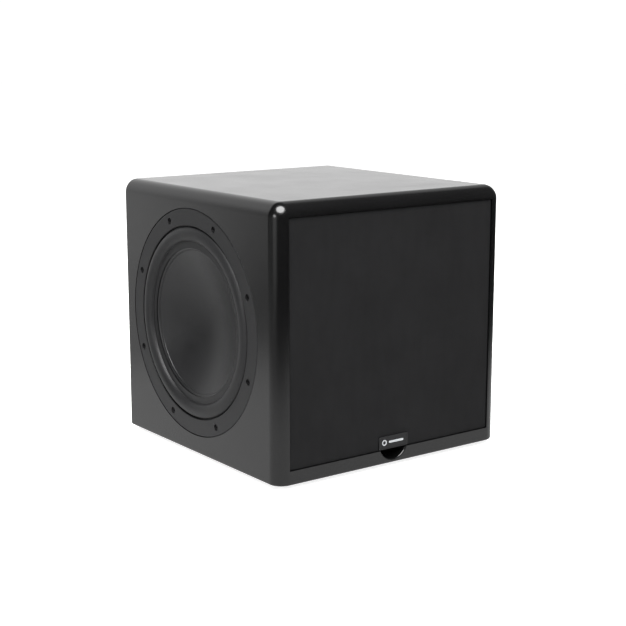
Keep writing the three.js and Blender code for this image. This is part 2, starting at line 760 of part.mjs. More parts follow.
function amplifierPlate() {
  const plate = slab(0, MIDDLE_Z, PLATE_WIDTH, PLATE_HEIGHT, PLATE_BACK, REAR);
  const hole = (radius, at) => atPlate(cylinder(radius + FIT, -PLATE_THICKNESS - 1, 1), at);
  return cut(plate, [
    hole(SHAFT_RADIUS, VOLUME_AT),
    hole(SHAFT_RADIUS, CROSSOVER_AT),
    hole(LIGHT_RADIUS, LIGHT_AT),
    ...JACKS_AT.map((at) => hole(JACK_SEAT_RADIUS, at)),
    plateSlot(PHASE_AT, BUTTON_WIDTH + SWITCH_TRAVEL, BUTTON_WIDTH),
    plateSlot(MODE_AT, BUTTON_WIDTH + SWITCH_TRAVEL, BUTTON_WIDTH),
    plateSlot(ROCKER_AT, ROCKER_WIDTH, ROCKER_HEIGHT),
    plateSlot(INLET_AT, INLET_WIDTH, INLET_HEIGHT),
  ]);
}

// A control knob with a pointer groove, and its shaft through the plate.
function knob() {
  const cap = puck(KNOB_RADIUS, 1, KNOB_REACH);
  const shaft = cylinder(SHAFT_RADIUS, -PLATE_THICKNESS - 6, 3, TINY);
  const face = KNOB_REACH - 0.6;
  const groove = block([-0.6, KNOB_RADIUS / 3, face], [0.6, KNOB_RADIUS + 1, KNOB_REACH + 1]);
  return cut(joined(cap, shaft), [groove]);
}

// A slide switch's button with a shoulder behind the plate, standing off centre by half its travel.
function slideButton() {
  const half = BUTTON_WIDTH / 2;
  const behind = -PLATE_THICKNESS - FIT;
  const stem = block([-half, -half, behind - 3], [half, half, 2.5]);
  const shoulder = block([-half, -half - 2, behind - 3], [half, half + 2, behind]);
  return joined(stem, shoulder).translate(-SWITCH_TRAVEL / 2, 0, 0);
}

// A rocker with two slanting halves, seen from the side as [up, out] points, its lower half pressed in.
function rocker() {
  const half = ROCKER_HEIGHT / 2 - 1.5;
  const back = -ROCKER_PIVOT - 2.5;
  const outline = [[-half, back], [half, back], [half, 3.4], [0, 1], [-half, 1.8]];
  const reach = ROCKER_WIDTH / 2 - 0.5;
  const [x, z] = ROCKER_AT;
  return raised(outline, -reach, reach).rotateY(-Math.PI / 2).translate(x, REAR, z);
}

// The mains inlet: a moulded block behind a bezel, with a socket, three pins and a slot for the fuse
// drawer under them. The socket's outline has its two upper corners cut off.
const SOCKET_RISE = 4.5;
const DRAWER_DROP = 10.5;

function powerInlet() {
  const [x, z] = INLET_AT;
  const body = slab(x, z, INLET_WIDTH, INLET_HEIGHT, REAR - INLET_DEPTH, REAR + 1);
  const bezel = slab(x, z, INLET_WIDTH + 5, INLET_HEIGHT + 5, REAR + FIT, REAR + 2.5);
  const halfWidth = 12;
  const halfHeight = 8;
  const nip = 4.5;
  const outline = [
    [-halfWidth, -halfHeight],
    [halfWidth, -halfHeight],
    [halfWidth, halfHeight - nip],
    [halfWidth - nip, halfHeight],
    [nip - halfWidth, halfHeight],
    [-halfWidth, halfHeight - nip],
  ];
  const socket = facing("rear", raised(outline, -15, 4).rotateZ(Math.PI), [x, REAR, z + SOCKET_RISE]);
  const slotWidth = DRAWER_WIDTH + 2 * FIT;
  const slotHeight = DRAWER_HEIGHT + 2 * FIT;
  const slot = slab(x, z - DRAWER_DROP, slotWidth, slotHeight, REAR - DRAWER_DEPTH, REAR + 4);
  const pins = [[-7, -1.5], [0, 2.5], [7, -1.5]].map(([across, up]) =>
    slab(x + across, z + SOCKET_RISE + up, 2, 4, REAR - 16, REAR - 2)
  );
  return joined(cut(joined(body, bezel), [socket, slot]), ...pins);
}

// The drawer holds the fuse in a well, and a nail slot in its face pulls it out.
function fuseDrawer() {
  const [x, z] = [INLET_AT[0], INLET_AT[1] - DRAWER_DROP];
  const front = REAR + 3.4;
  const back = REAR - DRAWER_DEPTH + FIT;
  const drawer = slab(x, z, DRAWER_WIDTH, DRAWER_HEIGHT, back, front);
  const nailSlot = slab(x, z - DRAWER_HEIGHT / 2, DRAWER_WIDTH / 2, 1.6, front - 1.8, front - 0.8);
  const well = slab(x, z + 1.5, DRAWER_WIDTH - 5, DRAWER_HEIGHT, back + 2, REAR - 4);
  return cut(drawer, [nailSlot, well]);
}

// Upright fins on a base that lies on the outside of the plate.
function heatSink() {
  const base = REAR + 3;
  const pitch = (SINK_WIDTH - FIN_THICKNESS) / (FIN_COUNT - 1);
  const first = (FIN_THICKNESS - SINK_WIDTH) / 2;
  const fins = Array.from({ length: FIN_COUNT }, (_, i) =>
    slab(first + i * pitch, FIN_Z, FIN_THICKNESS, SINK_HEIGHT, base - 1, REAR + FIN_REACH)
  );
  return joined(slab(0, FIN_Z, SINK_WIDTH, SINK_HEIGHT, REAR + FIT, base), ...fins);
}

// The steel box that keeps the amplifier apart from the air in the cabinet, open towards the plate.
const COVER_WIDTH = PLATE_WIDTH - 2 * PLATE_MARGIN - 2;
const COVER_HEIGHT = PLATE_HEIGHT - 2 * PLATE_MARGIN - 2;
const COVER_FRONT = PLATE_BACK - COVER_DEPTH;

function amplifierCover() {
  const box = slab(0, MIDDLE_Z, COVER_WIDTH, COVER_HEIGHT, COVER_FRONT, PLATE_BACK - FIT);
  const width = COVER_WIDTH - 2 * COVER_WALL;
  const height = COVER_HEIGHT - 2 * COVER_WALL;
  const inside = slab(0, MIDDLE_Z, width, height, COVER_FRONT + COVER_WALL, PLATE_BACK + 1);
  return cut(box, [inside]);
}

function inputJack() {
  const sides = TURNED - 4;
  const sleeve = cylinder(JACK_RADIUS, -8, 8.5, sides);
  const seat = cylinder(JACK_SEAT_RADIUS, -PLATE_THICKNESS, 1.8, sides);
  const base = cylinder(JACK_RADIUS + 0.8, -12, -7, sides);
  const socket = cylinder(JACK_RADIUS - 1.4, -6, 9, TINY);
  return cut(joined(sleeve, seat, base), [socket]);
}

// The transformer sits at the bottom of the cover, and the board fills the height over it, standing
// between the cover's sides with its parts on its inner face.
const INSIDE_BOTTOM = MIDDLE_Z - COVER_HEIGHT / 2 + COVER_WALL;
const INSIDE_TOP = MIDDLE_Z + COVER_HEIGHT / 2 - COVER_WALL;
const TOROID_Z = INSIDE_BOTTOM + TOROID_RADIUS + 5;
const BOARD_WIDTH = COVER_WIDTH - 2 * COVER_WALL - 2 * BOARD_MARGIN;
const BOARD_BOTTOM = TOROID_Z + TOROID_RADIUS + 3;
const BOARD_HEIGHT = INSIDE_TOP - BOARD_MARGIN - BOARD_BOTTOM;
const BOARD_Z = BOARD_BOTTOM + BOARD_HEIGHT / 2;
const BOARD_FRONT = PLATE_BACK - BOARD_SETBACK;

function buildAmplifier() {
  add("amplifier_plate", amplifierPlate(), "anodised");
  add("amplifier_cover", amplifierCover(), "plated");
  const board = slab(0, BOARD_Z, BOARD_WIDTH, BOARD_HEIGHT, BOARD_FRONT, BOARD_FRONT + 1.6);
  add("amplifier_board", board, "laminate");
  const toroid = washer(TOROID_RADIUS / 3, TOROID_RADIUS, 0, TOROID_HEIGHT, TURNED);
  const toroidAt = [-COLUMN_X / 2, COVER_FRONT + COVER_WALL + FIT, TOROID_Z];
  add("amplifier_transformer", facing("rear", toroid, toroidAt), "copper");
  const capacitor = facing("front", cylinder(11, 0, 22), [COLUMN_X - 8, BOARD_FRONT - FIT, BOARD_Z + 24]);
  add("amplifier_capacitor", capacitor, "moulded");
  add("amplifier_heat_sink", heatSink(), "anodised");
  add("volume_knob", atPlate(knob(), VOLUME_AT), "moulded");
  add("crossover_knob", atPlate(knob(), CROSSOVER_AT), "moulded");
  add("phase_switch", atPlate(slideButton(), PHASE_AT), "moulded");
  add("mode_switch", atPlate(slideButton(), MODE_AT), "moulded");
  add("input_jack_left", atPlate(inputJack(), JACKS_AT[0]), "gilt");
  add("input_jack_right", atPlate(inputJack(), JACKS_AT[1]), "gilt");
  add("status_light", atPlate(puck(LIGHT_RADIUS, -6, 1.5, TINY), LIGHT_AT), "lens");
  add("power_rocker", rocker(), "moulded");
  add("power_inlet", powerInlet(), "moulded");
  add("fuse_drawer", fuseDrawer(), "moulded");
}

// ---- Speaker lead ----------------------------------------------------------------------------------

// From the amplifier's cover, round under the magnet, to the outer face of the woofer's terminal.
function speakerLead() {
  const seat = slopeAt(TERMINAL_DEPTH).addScaledVector(slopeNormal, TERMINAL_THICKNESS + 2 * FIT);
  const onTerminal = ([radius, depth]) =>
    new THREE.Vector3(
      radius * Math.cos(TERMINAL_ANGLE),
      BAFFLE_FRONT - depth,
      MIDDLE_Z + radius * Math.sin(TERMINAL_ANGLE)
    );
  const end = onTerminal(seat.toArray());
  const before = onTerminal(seat.clone().addScaledVector(slopeNormal, 12).toArray());
  const exit = INSIDE_BOTTOM + 16;
  const route = new THREE.CatmullRomCurve3([
    new THREE.Vector3(-20, COVER_FRONT - FIT, exit),
    new THREE.Vector3(-20, COVER_FRONT - 14, exit),
    new THREE.Vector3(-26, COVER_FRONT - 42, BOTTOM + 50),
    new THREE.Vector3(-38, (COVER_FRONT + BAFFLE_FRONT) / 2 + 8, BOTTOM + 40),
    new THREE.Vector3(-60, BAFFLE_FRONT + 76, BOTTOM + 38),
    before,
    end,
  ]);
  const section = new THREE.Shape().absarc(0, 0, LEAD_RADIUS, 0, 2 * Math.PI);
  return new THREE.ExtrudeGeometry(section, {
    steps: LEAD_STEPS,
    curveSegments: TINY / 2,
    extrudePath: route,
    bevelEnabled: false,
  });
}

buildCabinet();
buildRadiator("left");
buildRadiator("right");
buildLeftRadiatorScrews();
buildWoofer();
buildGrille();
buildAmplifier();
add("speaker_lead", speakerLead(), "rubber");

export default subwoofer;
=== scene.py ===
"""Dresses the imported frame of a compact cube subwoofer: its lacquered cabinet, a woofer behind a cloth
grille, a passive radiator in each side, and a plate amplifier at the back.

Each sub-assembly is a class that builds its meshes in millimetres, in its own frame, and lays them in the
row frame, in metres. Local +Z is the way that the sub-assembly faces.
"""

import json
import logging
import math
from abc import ABC, abstractmethod
from collections.abc import Callable, Iterable, Sequence
from dataclasses import dataclass, field
from enum import Enum
from typing import Any

import bmesh
import bpy
from mathutils import Matrix, Vector

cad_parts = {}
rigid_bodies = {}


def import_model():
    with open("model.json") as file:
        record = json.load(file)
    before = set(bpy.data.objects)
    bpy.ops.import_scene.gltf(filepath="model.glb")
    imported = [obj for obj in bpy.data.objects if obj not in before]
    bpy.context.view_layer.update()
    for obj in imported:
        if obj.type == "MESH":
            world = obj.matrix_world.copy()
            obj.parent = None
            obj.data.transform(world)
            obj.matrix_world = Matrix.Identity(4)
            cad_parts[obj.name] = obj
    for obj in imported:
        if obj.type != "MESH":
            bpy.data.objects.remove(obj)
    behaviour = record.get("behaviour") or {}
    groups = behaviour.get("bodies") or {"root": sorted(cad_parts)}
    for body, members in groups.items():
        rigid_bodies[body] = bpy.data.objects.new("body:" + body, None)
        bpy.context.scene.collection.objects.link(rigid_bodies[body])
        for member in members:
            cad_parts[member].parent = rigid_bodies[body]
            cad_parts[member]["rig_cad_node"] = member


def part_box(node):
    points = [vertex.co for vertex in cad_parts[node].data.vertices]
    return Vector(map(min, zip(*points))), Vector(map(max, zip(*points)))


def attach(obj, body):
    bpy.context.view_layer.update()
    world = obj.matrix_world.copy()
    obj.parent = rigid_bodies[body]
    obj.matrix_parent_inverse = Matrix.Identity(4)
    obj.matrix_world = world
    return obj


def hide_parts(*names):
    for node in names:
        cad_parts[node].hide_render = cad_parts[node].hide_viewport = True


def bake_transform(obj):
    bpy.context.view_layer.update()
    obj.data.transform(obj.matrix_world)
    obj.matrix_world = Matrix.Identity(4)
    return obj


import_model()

log = logging.getLogger("subwoofer")

MM = 0.001
Point = tuple[float, ...]
Colour = tuple[float, float, float]


# ---- Node trees -------------------------------------------------------------------------------------


def _operator(operation: str, swapped: bool = False) -> Callable[["Sock", "Value"], "Sock"]:
    """Makes one of the arithmetic methods of a Sock.

    Args:
        operation: the Math node's operation.
        swapped: True for the reflected form, such as 1 - mask.

    Returns:
        The method.
    """

    def method(self: "Sock", other: "Value") -> "Sock":
        """Adds the node."""
        return self.math(operation, *((other, self) if swapped else (self, other)))

    return method


class Sock:
    """An output of a node that takes part in sums, so that node maths reads as an expression."""

    def __init__(self, tree: "Tree", socket: bpy.types.NodeSocket) -> None:
        """Keeps the tree and the socket."""
        self.tree = tree
        self.socket = socket

    def math(self, operation: str, *values: "Value") -> "Sock":
        """Adds a Math node.

        Args:
            operation: the node's operation.
            values: its inputs, in order.

        Returns:
            The node's result.
        """
        return self.tree.make("ShaderNodeMath", {"operation": operation}, dict(enumerate(values)))

    __add__, __radd__ = _operator("ADD"), _operator("ADD", swapped=True)
    __sub__, __rsub__ = _operator("SUBTRACT"), _operator("SUBTRACT", swapped=True)
    __mul__, __rmul__ = _operator("MULTIPLY"), _operator("MULTIPLY", swapped=True)
    __truediv__ = _operator("DIVIDE")

    def most(self, other: "Value") -> "Sock":
        """The larger of the two."""
        return self.math("MAXIMUM", self, other)

    def least(self, other: "Value") -> "Sock":
        """The smaller of the two."""
        return self.math("MINIMUM", self, other)

    def sine(self) -> "Sock":
        """The sine of an angle in radians."""
        return self.math("SINE", self)

    def cosine(self) -> "Sock":
        """The cosine of an angle in radians."""
        return self.math("COSINE", self)

    def step(self, low: float, high: float) -> "Sock":
        """A smooth step.

        Args:
            low: where the step starts.
            high: where it is complete; below low, the step falls.

        Returns:
            0 before low and 1 after high.
        """
        settings = {"interpolation_type": "SMOOTHSTEP"}
        return self.tree.make("ShaderNodeMapRange", settings, {0: self, 1: low, 2: high})


Value = Sock | float


class Tree:
    """A node tree that is written as Python expressions."""

    def __init__(self, tree: bpy.types.NodeTree) -> None:
        """Empties the tree and keeps it."""
        self.tree = tree
        tree.nodes.clear()

    def node(
        self, kind: str, settings: dict[str, Any] | None = None, inputs: dict[Any, Any] | None = None
    ) -> bpy.types.Node:
        """Makes a node: its settings first, then its sockets.

        Args:
            kind: the node's type.
            settings: its properties.
            inputs: values or links for its sockets, by name or number.

        Returns:
            The node.
        """
        made = self.tree.nodes.new(kind)
        for name, value in (settings or {}).items():
            setattr(made, name, value)
        for key, value in (inputs or {}).items():
            if isinstance(value, Sock):
                self.tree.links.new(value.socket, made.inputs[key])
            else:
                made.inputs[key].default_value = value
        return made

    def make(
        self,
        kind: str,
        settings: dict[str, Any] | None = None,
        inputs: dict[Any, Any] | None = None,
        output: int | str = 0,
    ) -> Sock:
        """Makes a node and gives one of its outputs.

        Args:
            kind: the node's type.
            settings: its properties.
            inputs: values or links for its sockets.
            output: the output's name or number.

        Returns:
            That output.
        """
        return Sock(self, self.node(kind, settings, inputs).outputs[output])

    def mixed(self, factor: Value, first: Any, second: Any) -> Sock:
        """Mixes two colours.

        Args:
            factor: 0 for the first and 1 for the second.
            first: a colour or a link.
            second: a colour or a link.

        Returns:
            The mixed colour.
        """
        first, second = ((*c, 1.0) if isinstance(c, tuple) else c for c in (first, second))
        return self.make("ShaderNodeMix", {"data_type": "RGBA"}, {0: factor, 6: first, 7: second}, 2)


class Paint(Tree):
    """The tree of one material, with its shader ready to be fed."""

    def __init__(self, name: str) -> None:
        """Makes the material and its shader.

        Args:
            name: the material's name.
        """
        self.material = bpy.data.materials.new(name)
        self.material.use_nodes = True
        super().__init__(self.material.node_tree)
        self.shader = self.node("ShaderNodeBsdfPrincipled")
        self.node("ShaderNodeOutputMaterial", inputs={"Surface": Sock(self, self.shader.outputs[0])})

    def feed(self, **sockets: Any) -> None:
        """Sets or links the shader's sockets, with an underscore for each space in their names."""
        for name, value in sockets.items():
            socket = self.shader.inputs[name.replace("_", " ")]
            if isinstance(value, Sock):
                self.tree.links.new(value.socket, socket)
            else:
                socket.default_value = (*value, 1.0) if isinstance(value, tuple) else value

    def place(self, stretch: Point = (1.0, 1.0, 1.0), output: str = "Object") -> Sock:
        """The point on the piece, in metres.

        Args:
            stretch: a factor for each axis.
            output: Object, or UV for a pattern that follows the surface.

        Returns:
            The stretched point.
        """
        point = self.make("ShaderNodeTexCoord", output=output)
        return self.make("ShaderNodeMapping", {}, {"Vector": point, "Scale": stretch})

    def noise(self, size: float, detail: float = 2.0, stretch: Point = (1.0, 1.0, 1.0)) -> Sock:
        """Noise over the piece.

        Args:
            size: the size of its spots, in millimetres.
            detail: the noise's detail.
            stretch: a factor for each axis.

        Returns:
            Values about 0.5.
        """
        inputs = {"Vector": self.place(stretch), "Scale": 1000.0 / size, "Detail": detail}
        return self.make("ShaderNodeTexNoise", {}, inputs)

    def relief(self, height: Sock, depth: float, strength: float = 1.0) -> None:
        """Feeds a bump to the shader.

        Args:
            height: values from 0 to 1.
            depth: the depth of a full step, in millimetres.
            strength: the bump's strength.
        """
        inputs = {"Height": height, "Distance": depth * MM, "Strength": strength}
        self.feed(Normal=self.make("ShaderNodeBump", {}, inputs))


# ---- Finishes ---------------------------------------------------------------------------------------


class Grain(Enum):
    """How a surface's fine relief lies."""

    PEBBLED = (1.0, 1.0, 1.0)
    DRAWN_ALONG_Y = (1.0, 0.03, 1.0)
    DRAWN_ALONG_Z = (1.0, 1.0, 0.03)


@dataclass(frozen=True)
class Finish(ABC):
    """A material that is made once, when it is first asked for."""

    name: str

    @abstractmethod
    def mix(self, paint: Paint) -> None:
        """Feeds the shader.

        Args:
            paint: the new material's tree.
        """

    def material(self) -> bpy.types.Material:
        """The finish's material."""
        label = self.name + "_finish"
        found = bpy.data.materials.get(label)
        if found is None:
            paint = Paint(label)
            self.mix(paint)
            found = paint.material
        return found


@dataclass(frozen=True)
class Surface(Finish):
    """A moulded, cast, coated or plated surface with a fine grain and slightly uneven tone and gloss."""

    colour: Colour
    roughness: float = 0.5
    metallic: float = 0.0
    grain: float = 0.6
    relief: float = 0.03
    unevenness: float = 0.12
    specular: float = 0.5
    lie: Grain = Grain.PEBBLED

    def mix(self, paint: Paint) -> None:
        """Feeds the shader.

        Args:
            paint: the new material's tree.
        """
        cloud = paint.noise(35.0, 3.0)
        fine = paint.noise(self.grain, 2.0, self.lie.value)
        shade = ((cloud - 0.5) * 1.4 + (fine - 0.5) * 0.8).step(-0.5, 0.5)
        low, high = (tuple(c * (1 + sign * self.unevenness) for c in self.colour) for sign in (-1, 1))
        gloss = self.roughness + (cloud - 0.5) * 0.16 + (fine - 0.5) * 0.1
        paint.feed(
            Base_Color=paint.mixed(shade, low, high),
            Roughness=gloss,
            Metallic=self.metallic,
            Specular_IOR_Level=self.specular,
        )
        paint.relief(fine, self.relief)


@dataclass(frozen=True)
class Lacquer(Finish):
    """Sprayed satin lacquer over board, with a faint orange peel and the marks of wiping."""

    colour: Colour
    roughness: float

    def mix(self, paint: Paint) -> None:
        """Feeds the shader.

        Args:
            paint: the new material's tree.
        """
        peel = paint.noise(2.6, 1.0)
        cloud = paint.noise(90.0, 3.0)
        wiping = paint.noise(7.0, 3.0, (0.15, 0.15, 1.0))
        deep = tuple(c * 0.85 for c in self.colour)
        light = tuple(c * 1.2 for c in self.colour)
        paint.feed(
            Base_Color=paint.mixed(cloud.step(0.3, 0.7), deep, light),
            Roughness=self.roughness + (cloud - 0.5) * 0.05 + (wiping - 0.5) * 0.05,
        )
        paint.relief(peel, 0.008)


@dataclass(frozen=True)
class Weave(Finish):
    """Cloth of crossing threads, laid out by the piece's own UV map, in metres, with painted shade in the
    dips between its threads.
    """

    colour: Colour
    pitch: float
    depth: float
    by_uv: bool = True

    def mix(self, paint: Paint) -> None:
        """Feeds the shader.

        Args:
            paint: the new material's tree.
        """
        point = paint.place(output="UV" if self.by_uv else "Object")
        turn = 2 * math.pi * 1000.0 / self.pitch
        parts = paint.node("ShaderNodeSeparateXYZ", inputs={0: point})
        across, along = (Sock(paint, parts.outputs[i]) for i in (0, 1))
        warp = (across * turn).sine()
        weft = (along * turn).sine()
        over = (warp * weft).step(-0.9, 0.9)
        height = over * 0.6 + warp.math("ABSOLUTE", warp) * 0.2 + weft.math("ABSOLUTE", weft) * 0.2
        slub = paint.noise(9.0, 4.0, (1.0, 1.0, 0.25))
        cloud = paint.noise(60.0, 2.0)
        # The height term lightens the raised crossings and darkens the dips between threads, which is painted
        # shade in the weave; the slub and cloud noise are the cloth's own uneven tone.
        tone = height * 0.55 + slub * 0.3 + cloud * 0.25
        dark = tuple(c * 0.62 for c in self.colour)
        light = tuple(c * 1.3 for c in self.colour)
        paint.feed(
            Base_Color=paint.mixed(tone.step(0.1, 1.0), dark, light),
            Roughness=0.86 + (height - 0.5) * 0.12,
            Specular_IOR_Level=0.06,
            Sheen_Weight=0.006,
            Sheen_Roughness=0.5,
        )
        paint.relief(height, self.depth, 0.8)


@dataclass(frozen=True)
class Lens(Finish):
    """A coloured indicator lens that glows, its tone and glow swirled by fine noise."""

    colour: Colour

    def mix(self, paint: Paint) -> None:
        """Feeds the shader.

        Args:
            paint: the new material's tree.
        """
        swirl = paint.noise(1.2, 2.0)
        dim = tuple(c * 0.5 for c in self.colour)
        paint.feed(
            Base_Color=paint.mixed(swirl, dim, self.colour),
            Roughness=0.1 + swirl * 0.08,
            Emission_Color=paint.mixed(swirl, dim, self.colour),
            Emission_Strength=0.8,
        )


@dataclass(frozen=True)
class Laminate(Finish):
    """Green circuit laminate with lighter runs of track under the mask."""

    colour: Colour

    def mix(self, paint: Paint) -> None:
        """Feeds the shader.

        Args:
            paint: the new material's tree.
        """
        cells = {"Vector": paint.place((1.0, 1.0, 0.4)), "Scale": 260.0}
        edge = paint.make("ShaderNodeTexVoronoi", {"feature": "DISTANCE_TO_EDGE"}, cells)
        track = edge.step(0.12, 0.06)
        bright = tuple(c * 2.4 for c in self.colour)
        paint.feed(Base_Color=paint.mixed(track, self.colour, bright), Roughness=0.4 - track * 0.1)
        paint.relief(track, 0.05)


class Kit:
    """Every finish on the subwoofer."""

    lacquer = Lacquer("satin_black_lacquer", (0.0016, 0.0016, 0.0017), 0.2)
    board = Surface("black_stained_board", (0.012, 0.012, 0.012), 0.7, grain=0.5, relief=0.08, unevenness=0.3)
    rubber = Surface("butyl_rubber", (0.009, 0.009, 0.0095), 0.48, grain=0.35, relief=0.012, specular=0.27)
    foot_rubber = Surface("foot_rubber", (0.016, 0.016, 0.017), 0.7, grain=0.5, relief=0.04)
    ring = Surface(
        "textured_ring_plastic", (0.008, 0.008, 0.0085), 0.46, grain=0.45, relief=0.02, specular=0.29
    )
    moulded = Surface("black_moulded_plastic", (0.018, 0.018, 0.019), 0.4, grain=0.5, relief=0.03)
    gloss_plastic = Surface("glossy_switch_plastic", (0.014, 0.014, 0.015), 0.22, grain=1.2, relief=0.01)
    cone = Surface("diaphragm_skin", (0.008, 0.008, 0.0085), 0.4, grain=1.4, relief=0.015, specular=0.38)
    pressed = Surface("pressed_basket_steel", (0.03, 0.03, 0.032), 0.45, 0.4, grain=0.4, relief=0.02)
    damper = Weave("phenolic_damper_cloth", (0.42, 0.27, 0.10), 1.2, 0.2, by_uv=False)
    ferrite = Surface("ferrite", (0.05, 0.05, 0.052), 0.8, grain=0.8, relief=0.08)
    plated = Surface("zinc_plate", (0.52, 0.53, 0.55), 0.34, 0.95, grain=0.8, relief=0.01)
    blackened = Surface(
        "black_oxide", (0.006, 0.006, 0.0065), 0.5, 0.2, grain=0.3, relief=0.01, specular=0.25
    )
    cloth = Weave("grille_cloth", (0.0075, 0.0075, 0.0078), 1.5, 0.22)
    coated = Surface("powder_coated_steel", (0.017, 0.017, 0.018), 0.55, 0.0, grain=0.55, relief=0.05)
    anodised = Surface("black_anodised", (0.02, 0.02, 0.022), 0.42, 0.5, 0.35, 0.02, lie=Grain.DRAWN_ALONG_Z)
    laminate = Laminate("circuit_laminate", (0.02, 0.12, 0.05))
    copper = Surface("enamelled_copper", (0.55, 0.25, 0.12), 0.35, 0.8, 0.9, 0.08, lie=Grain.DRAWN_ALONG_Y)
    gilt = Surface("gilt_contact", (0.78, 0.56, 0.20), 0.22, 1.0, grain=0.4, relief=0.008)
    silver = Surface("silver_print", (0.34, 0.35, 0.36), 0.4, 0.3, grain=0.5, relief=0.005)
    white_print = Surface("white_print", (0.6, 0.6, 0.6), 0.6, grain=0.4, relief=0.01)
    red = Surface("red_bush", (0.42, 0.02, 0.02), 0.4, grain=0.4, relief=0.01)
    white = Surface("white_bush", (0.62, 0.62, 0.60), 0.4, grain=0.4, relief=0.01)
    badge = Surface("smoked_badge", (0.004, 0.004, 0.0045), 0.16, grain=1.5, relief=0.004, specular=0.3)
    lens = Lens("status_lens", (0.06, 0.22, 0.75))


# ---- Places -----------------------------------------------------------------------------------------


class Side(Enum):
    """The way that a sub-assembly faces, as turns about X and then Y, in degrees."""

    UP = (0.0, 0.0)
    LEFT = (0.0, -90.0)
    RIGHT = (0.0, 90.0)
    FRONT = (90.0, 0.0)
    REAR = (-90.0, 0.0)

    def turn(self) -> Matrix:
        """The rotation from local +Z to this side."""
        about_x, about_y = (math.radians(v) for v in self.value)
        return Matrix.Rotation(about_y, 4, "Y") @ Matrix.Rotation(about_x, 4, "X")


@dataclass(frozen=True)
class Place:
    """A sub-assembly's own frame: which way it faces, and its origin in the row frame, in millimetres."""

    side: Side = Side.UP
    origin: Point = (0.0, 0.0, 0.0)

    def in_millimetres(self) -> Matrix:
        """From the local frame to the row frame, both in millimetres."""
        return Matrix.Translation(self.origin) @ self.side.turn()

    def matrix(self) -> Matrix:
        """From local millimetres to row metres."""
        return Matrix.Scale(MM, 4) @ self.in_millimetres()


def corners(node: str) -> tuple[Vector, Vector]:
    """A CAD node's box.

    Args:
        node: the node's name.

    Returns:
        Its lowest and highest corner, in millimetres.
    """
    low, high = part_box(node)
    return Vector(low) / MM, Vector(high) / MM


def middle(node: str) -> Vector:
    """The middle of a CAD node's box, in millimetres."""
    low, high = corners(node)
    return (low + high) / 2


# ---- Meshes -----------------------------------------------------------------------------------------


def eased(outline: Sequence[Point], steps: int = 4) -> list[tuple[float, float]]:
    """Rounds the corners of a closed outline.

    Args:
        outline: (x, y, ease) points; a point without an ease stays sharp.
        steps: the number of faces round a corner.

    Returns:
        The rounded outline.
    """
    result: list[tuple[float, float]] = []
    count = len(outline)
    for i, corner in enumerate(outline):
        here = Vector(corner[:2])
        ease = corner[2] if len(corner) > 2 else 0.0
        before = Vector(outline[i - 1][:2]) - here
        after = Vector(outline[(i + 1) % count][:2]) - here
        if ease <= 0 or before.length < 1e-9 or after.length < 1e-9:
            result.append(tuple(here))
            continue
        start = here + before.normalized() * min(ease, before.length * 0.49)
        end = here + after.normalized() * min(ease, after.length * 0.49)
        for step in range(steps + 1):
            s = step / steps
            result.append(tuple(start * (1 - s) ** 2 + here * 2 * s * (1 - s) + end * s * s))
    return result


def to_mesh(shape: bmesh.types.BMesh, name: str = "shape") -> bpy.types.Mesh:
    """Turns a bmesh into a mesh with its doubles merged and its faces outwards, and frees it.

    Args:
        shape: the bmesh.
        name: the mesh's name.

    Returns:
        The mesh.
    """
    bmesh.ops.remove_doubles(shape, verts=shape.verts, dist=1e-5)
    bmesh.ops.dissolve_degenerate(shape, edges=shape.edges, dist=1e-6)
    bmesh.ops.recalc_face_normals(shape, faces=shape.faces)
    mesh = bpy.data.meshes.new(name)
    shape.to_mesh(mesh)
    shape.free()
    return mesh


def quarter(radius: float, steps: int) -> list[tuple[float, float]]:
    """A quarter circle, from straight out to straight up.

    Args:
        radius: its radius.
        steps: the number of faces along it.

    Returns:
        (out, up) points.
    """
    angles = (step / steps * math.pi / 2 for step in range(steps + 1))
    return [(radius * math.cos(angle), radius * math.sin(angle)) for angle in angles]


def polar(radius: float, degrees: float) -> Vector:
    """The point at a radius and an angle about Z."""
    angle = math.radians(degrees)
    return Vector((radius * math.cos(angle), radius * math.sin(angle), 0.0))


def shift(x: float, y: float, z: float = 0.0) -> Matrix:
    """A move along the axes."""
    return Matrix.Translation((x, y, z))


def bridge(
    shape: bmesh.types.BMesh, ring: Sequence[bmesh.types.BMVert], after: Sequence[bmesh.types.BMVert]
) -> None:
    """Joins two closed rings with faces, which are triangles where a ring is a single point.

    Args:
        shape: the bmesh.
        ring: a ring.
        after: the next one, with as many points.
    """
    for k in range(len(ring)):
        j = (k + 1) % len(ring)
        loop = list(dict.fromkeys((ring[k], ring[j], after[j], after[k])))
        if len(loop) > 2:
            shape.faces.new(loop)


def turned(profile: Sequence[Point], segments: int = 128, ease_steps: int = 4) -> bpy.types.Mesh:
    """A closed body turned about Z.

    Args:
        profile: a closed outline of (radius, height, ease) points.
        segments: the number of faces round it.
        ease_steps: the number of faces round an eased corner.

    Returns:
        The mesh.
    """
    outline = eased(profile, ease_steps)
    shape = bmesh.new()
    rings: list[list[bmesh.types.BMVert]] = []
    for radius, height in outline:
        if radius < 1e-6:
            rings.append([shape.verts.new((0.0, 0.0, height))] * segments)
            continue
        angles = (2 * math.pi * k / segments for k in range(segments))
        rings.append([shape.verts.new((radius * math.cos(a), radius * math.sin(a), height)) for a in angles])
    for i, ring in enumerate(rings):
        bridge(shape, ring, rings[(i + 1) % len(rings)])
    return to_mesh(shape)


def layered(levels: Sequence[tuple[Sequence[Point], float]]) -> bpy.types.Mesh:
    """A body whose outline changes with its height.

    Args:
        levels: (outline, height) pairs from the bottom up, with as many points in each outline.

    Returns:
        The mesh.
    """
    shape = bmesh.new()
    rings = [[shape.verts.new((x, y, height)) for x, y in outline] for outline, height in levels]
    for ring, above in zip(rings, rings[1:]):
        bridge(shape, ring, above)
    shape.faces.new(list(reversed(rings[0])))
    shape.faces.new(rings[-1])
    return to_mesh(shape)


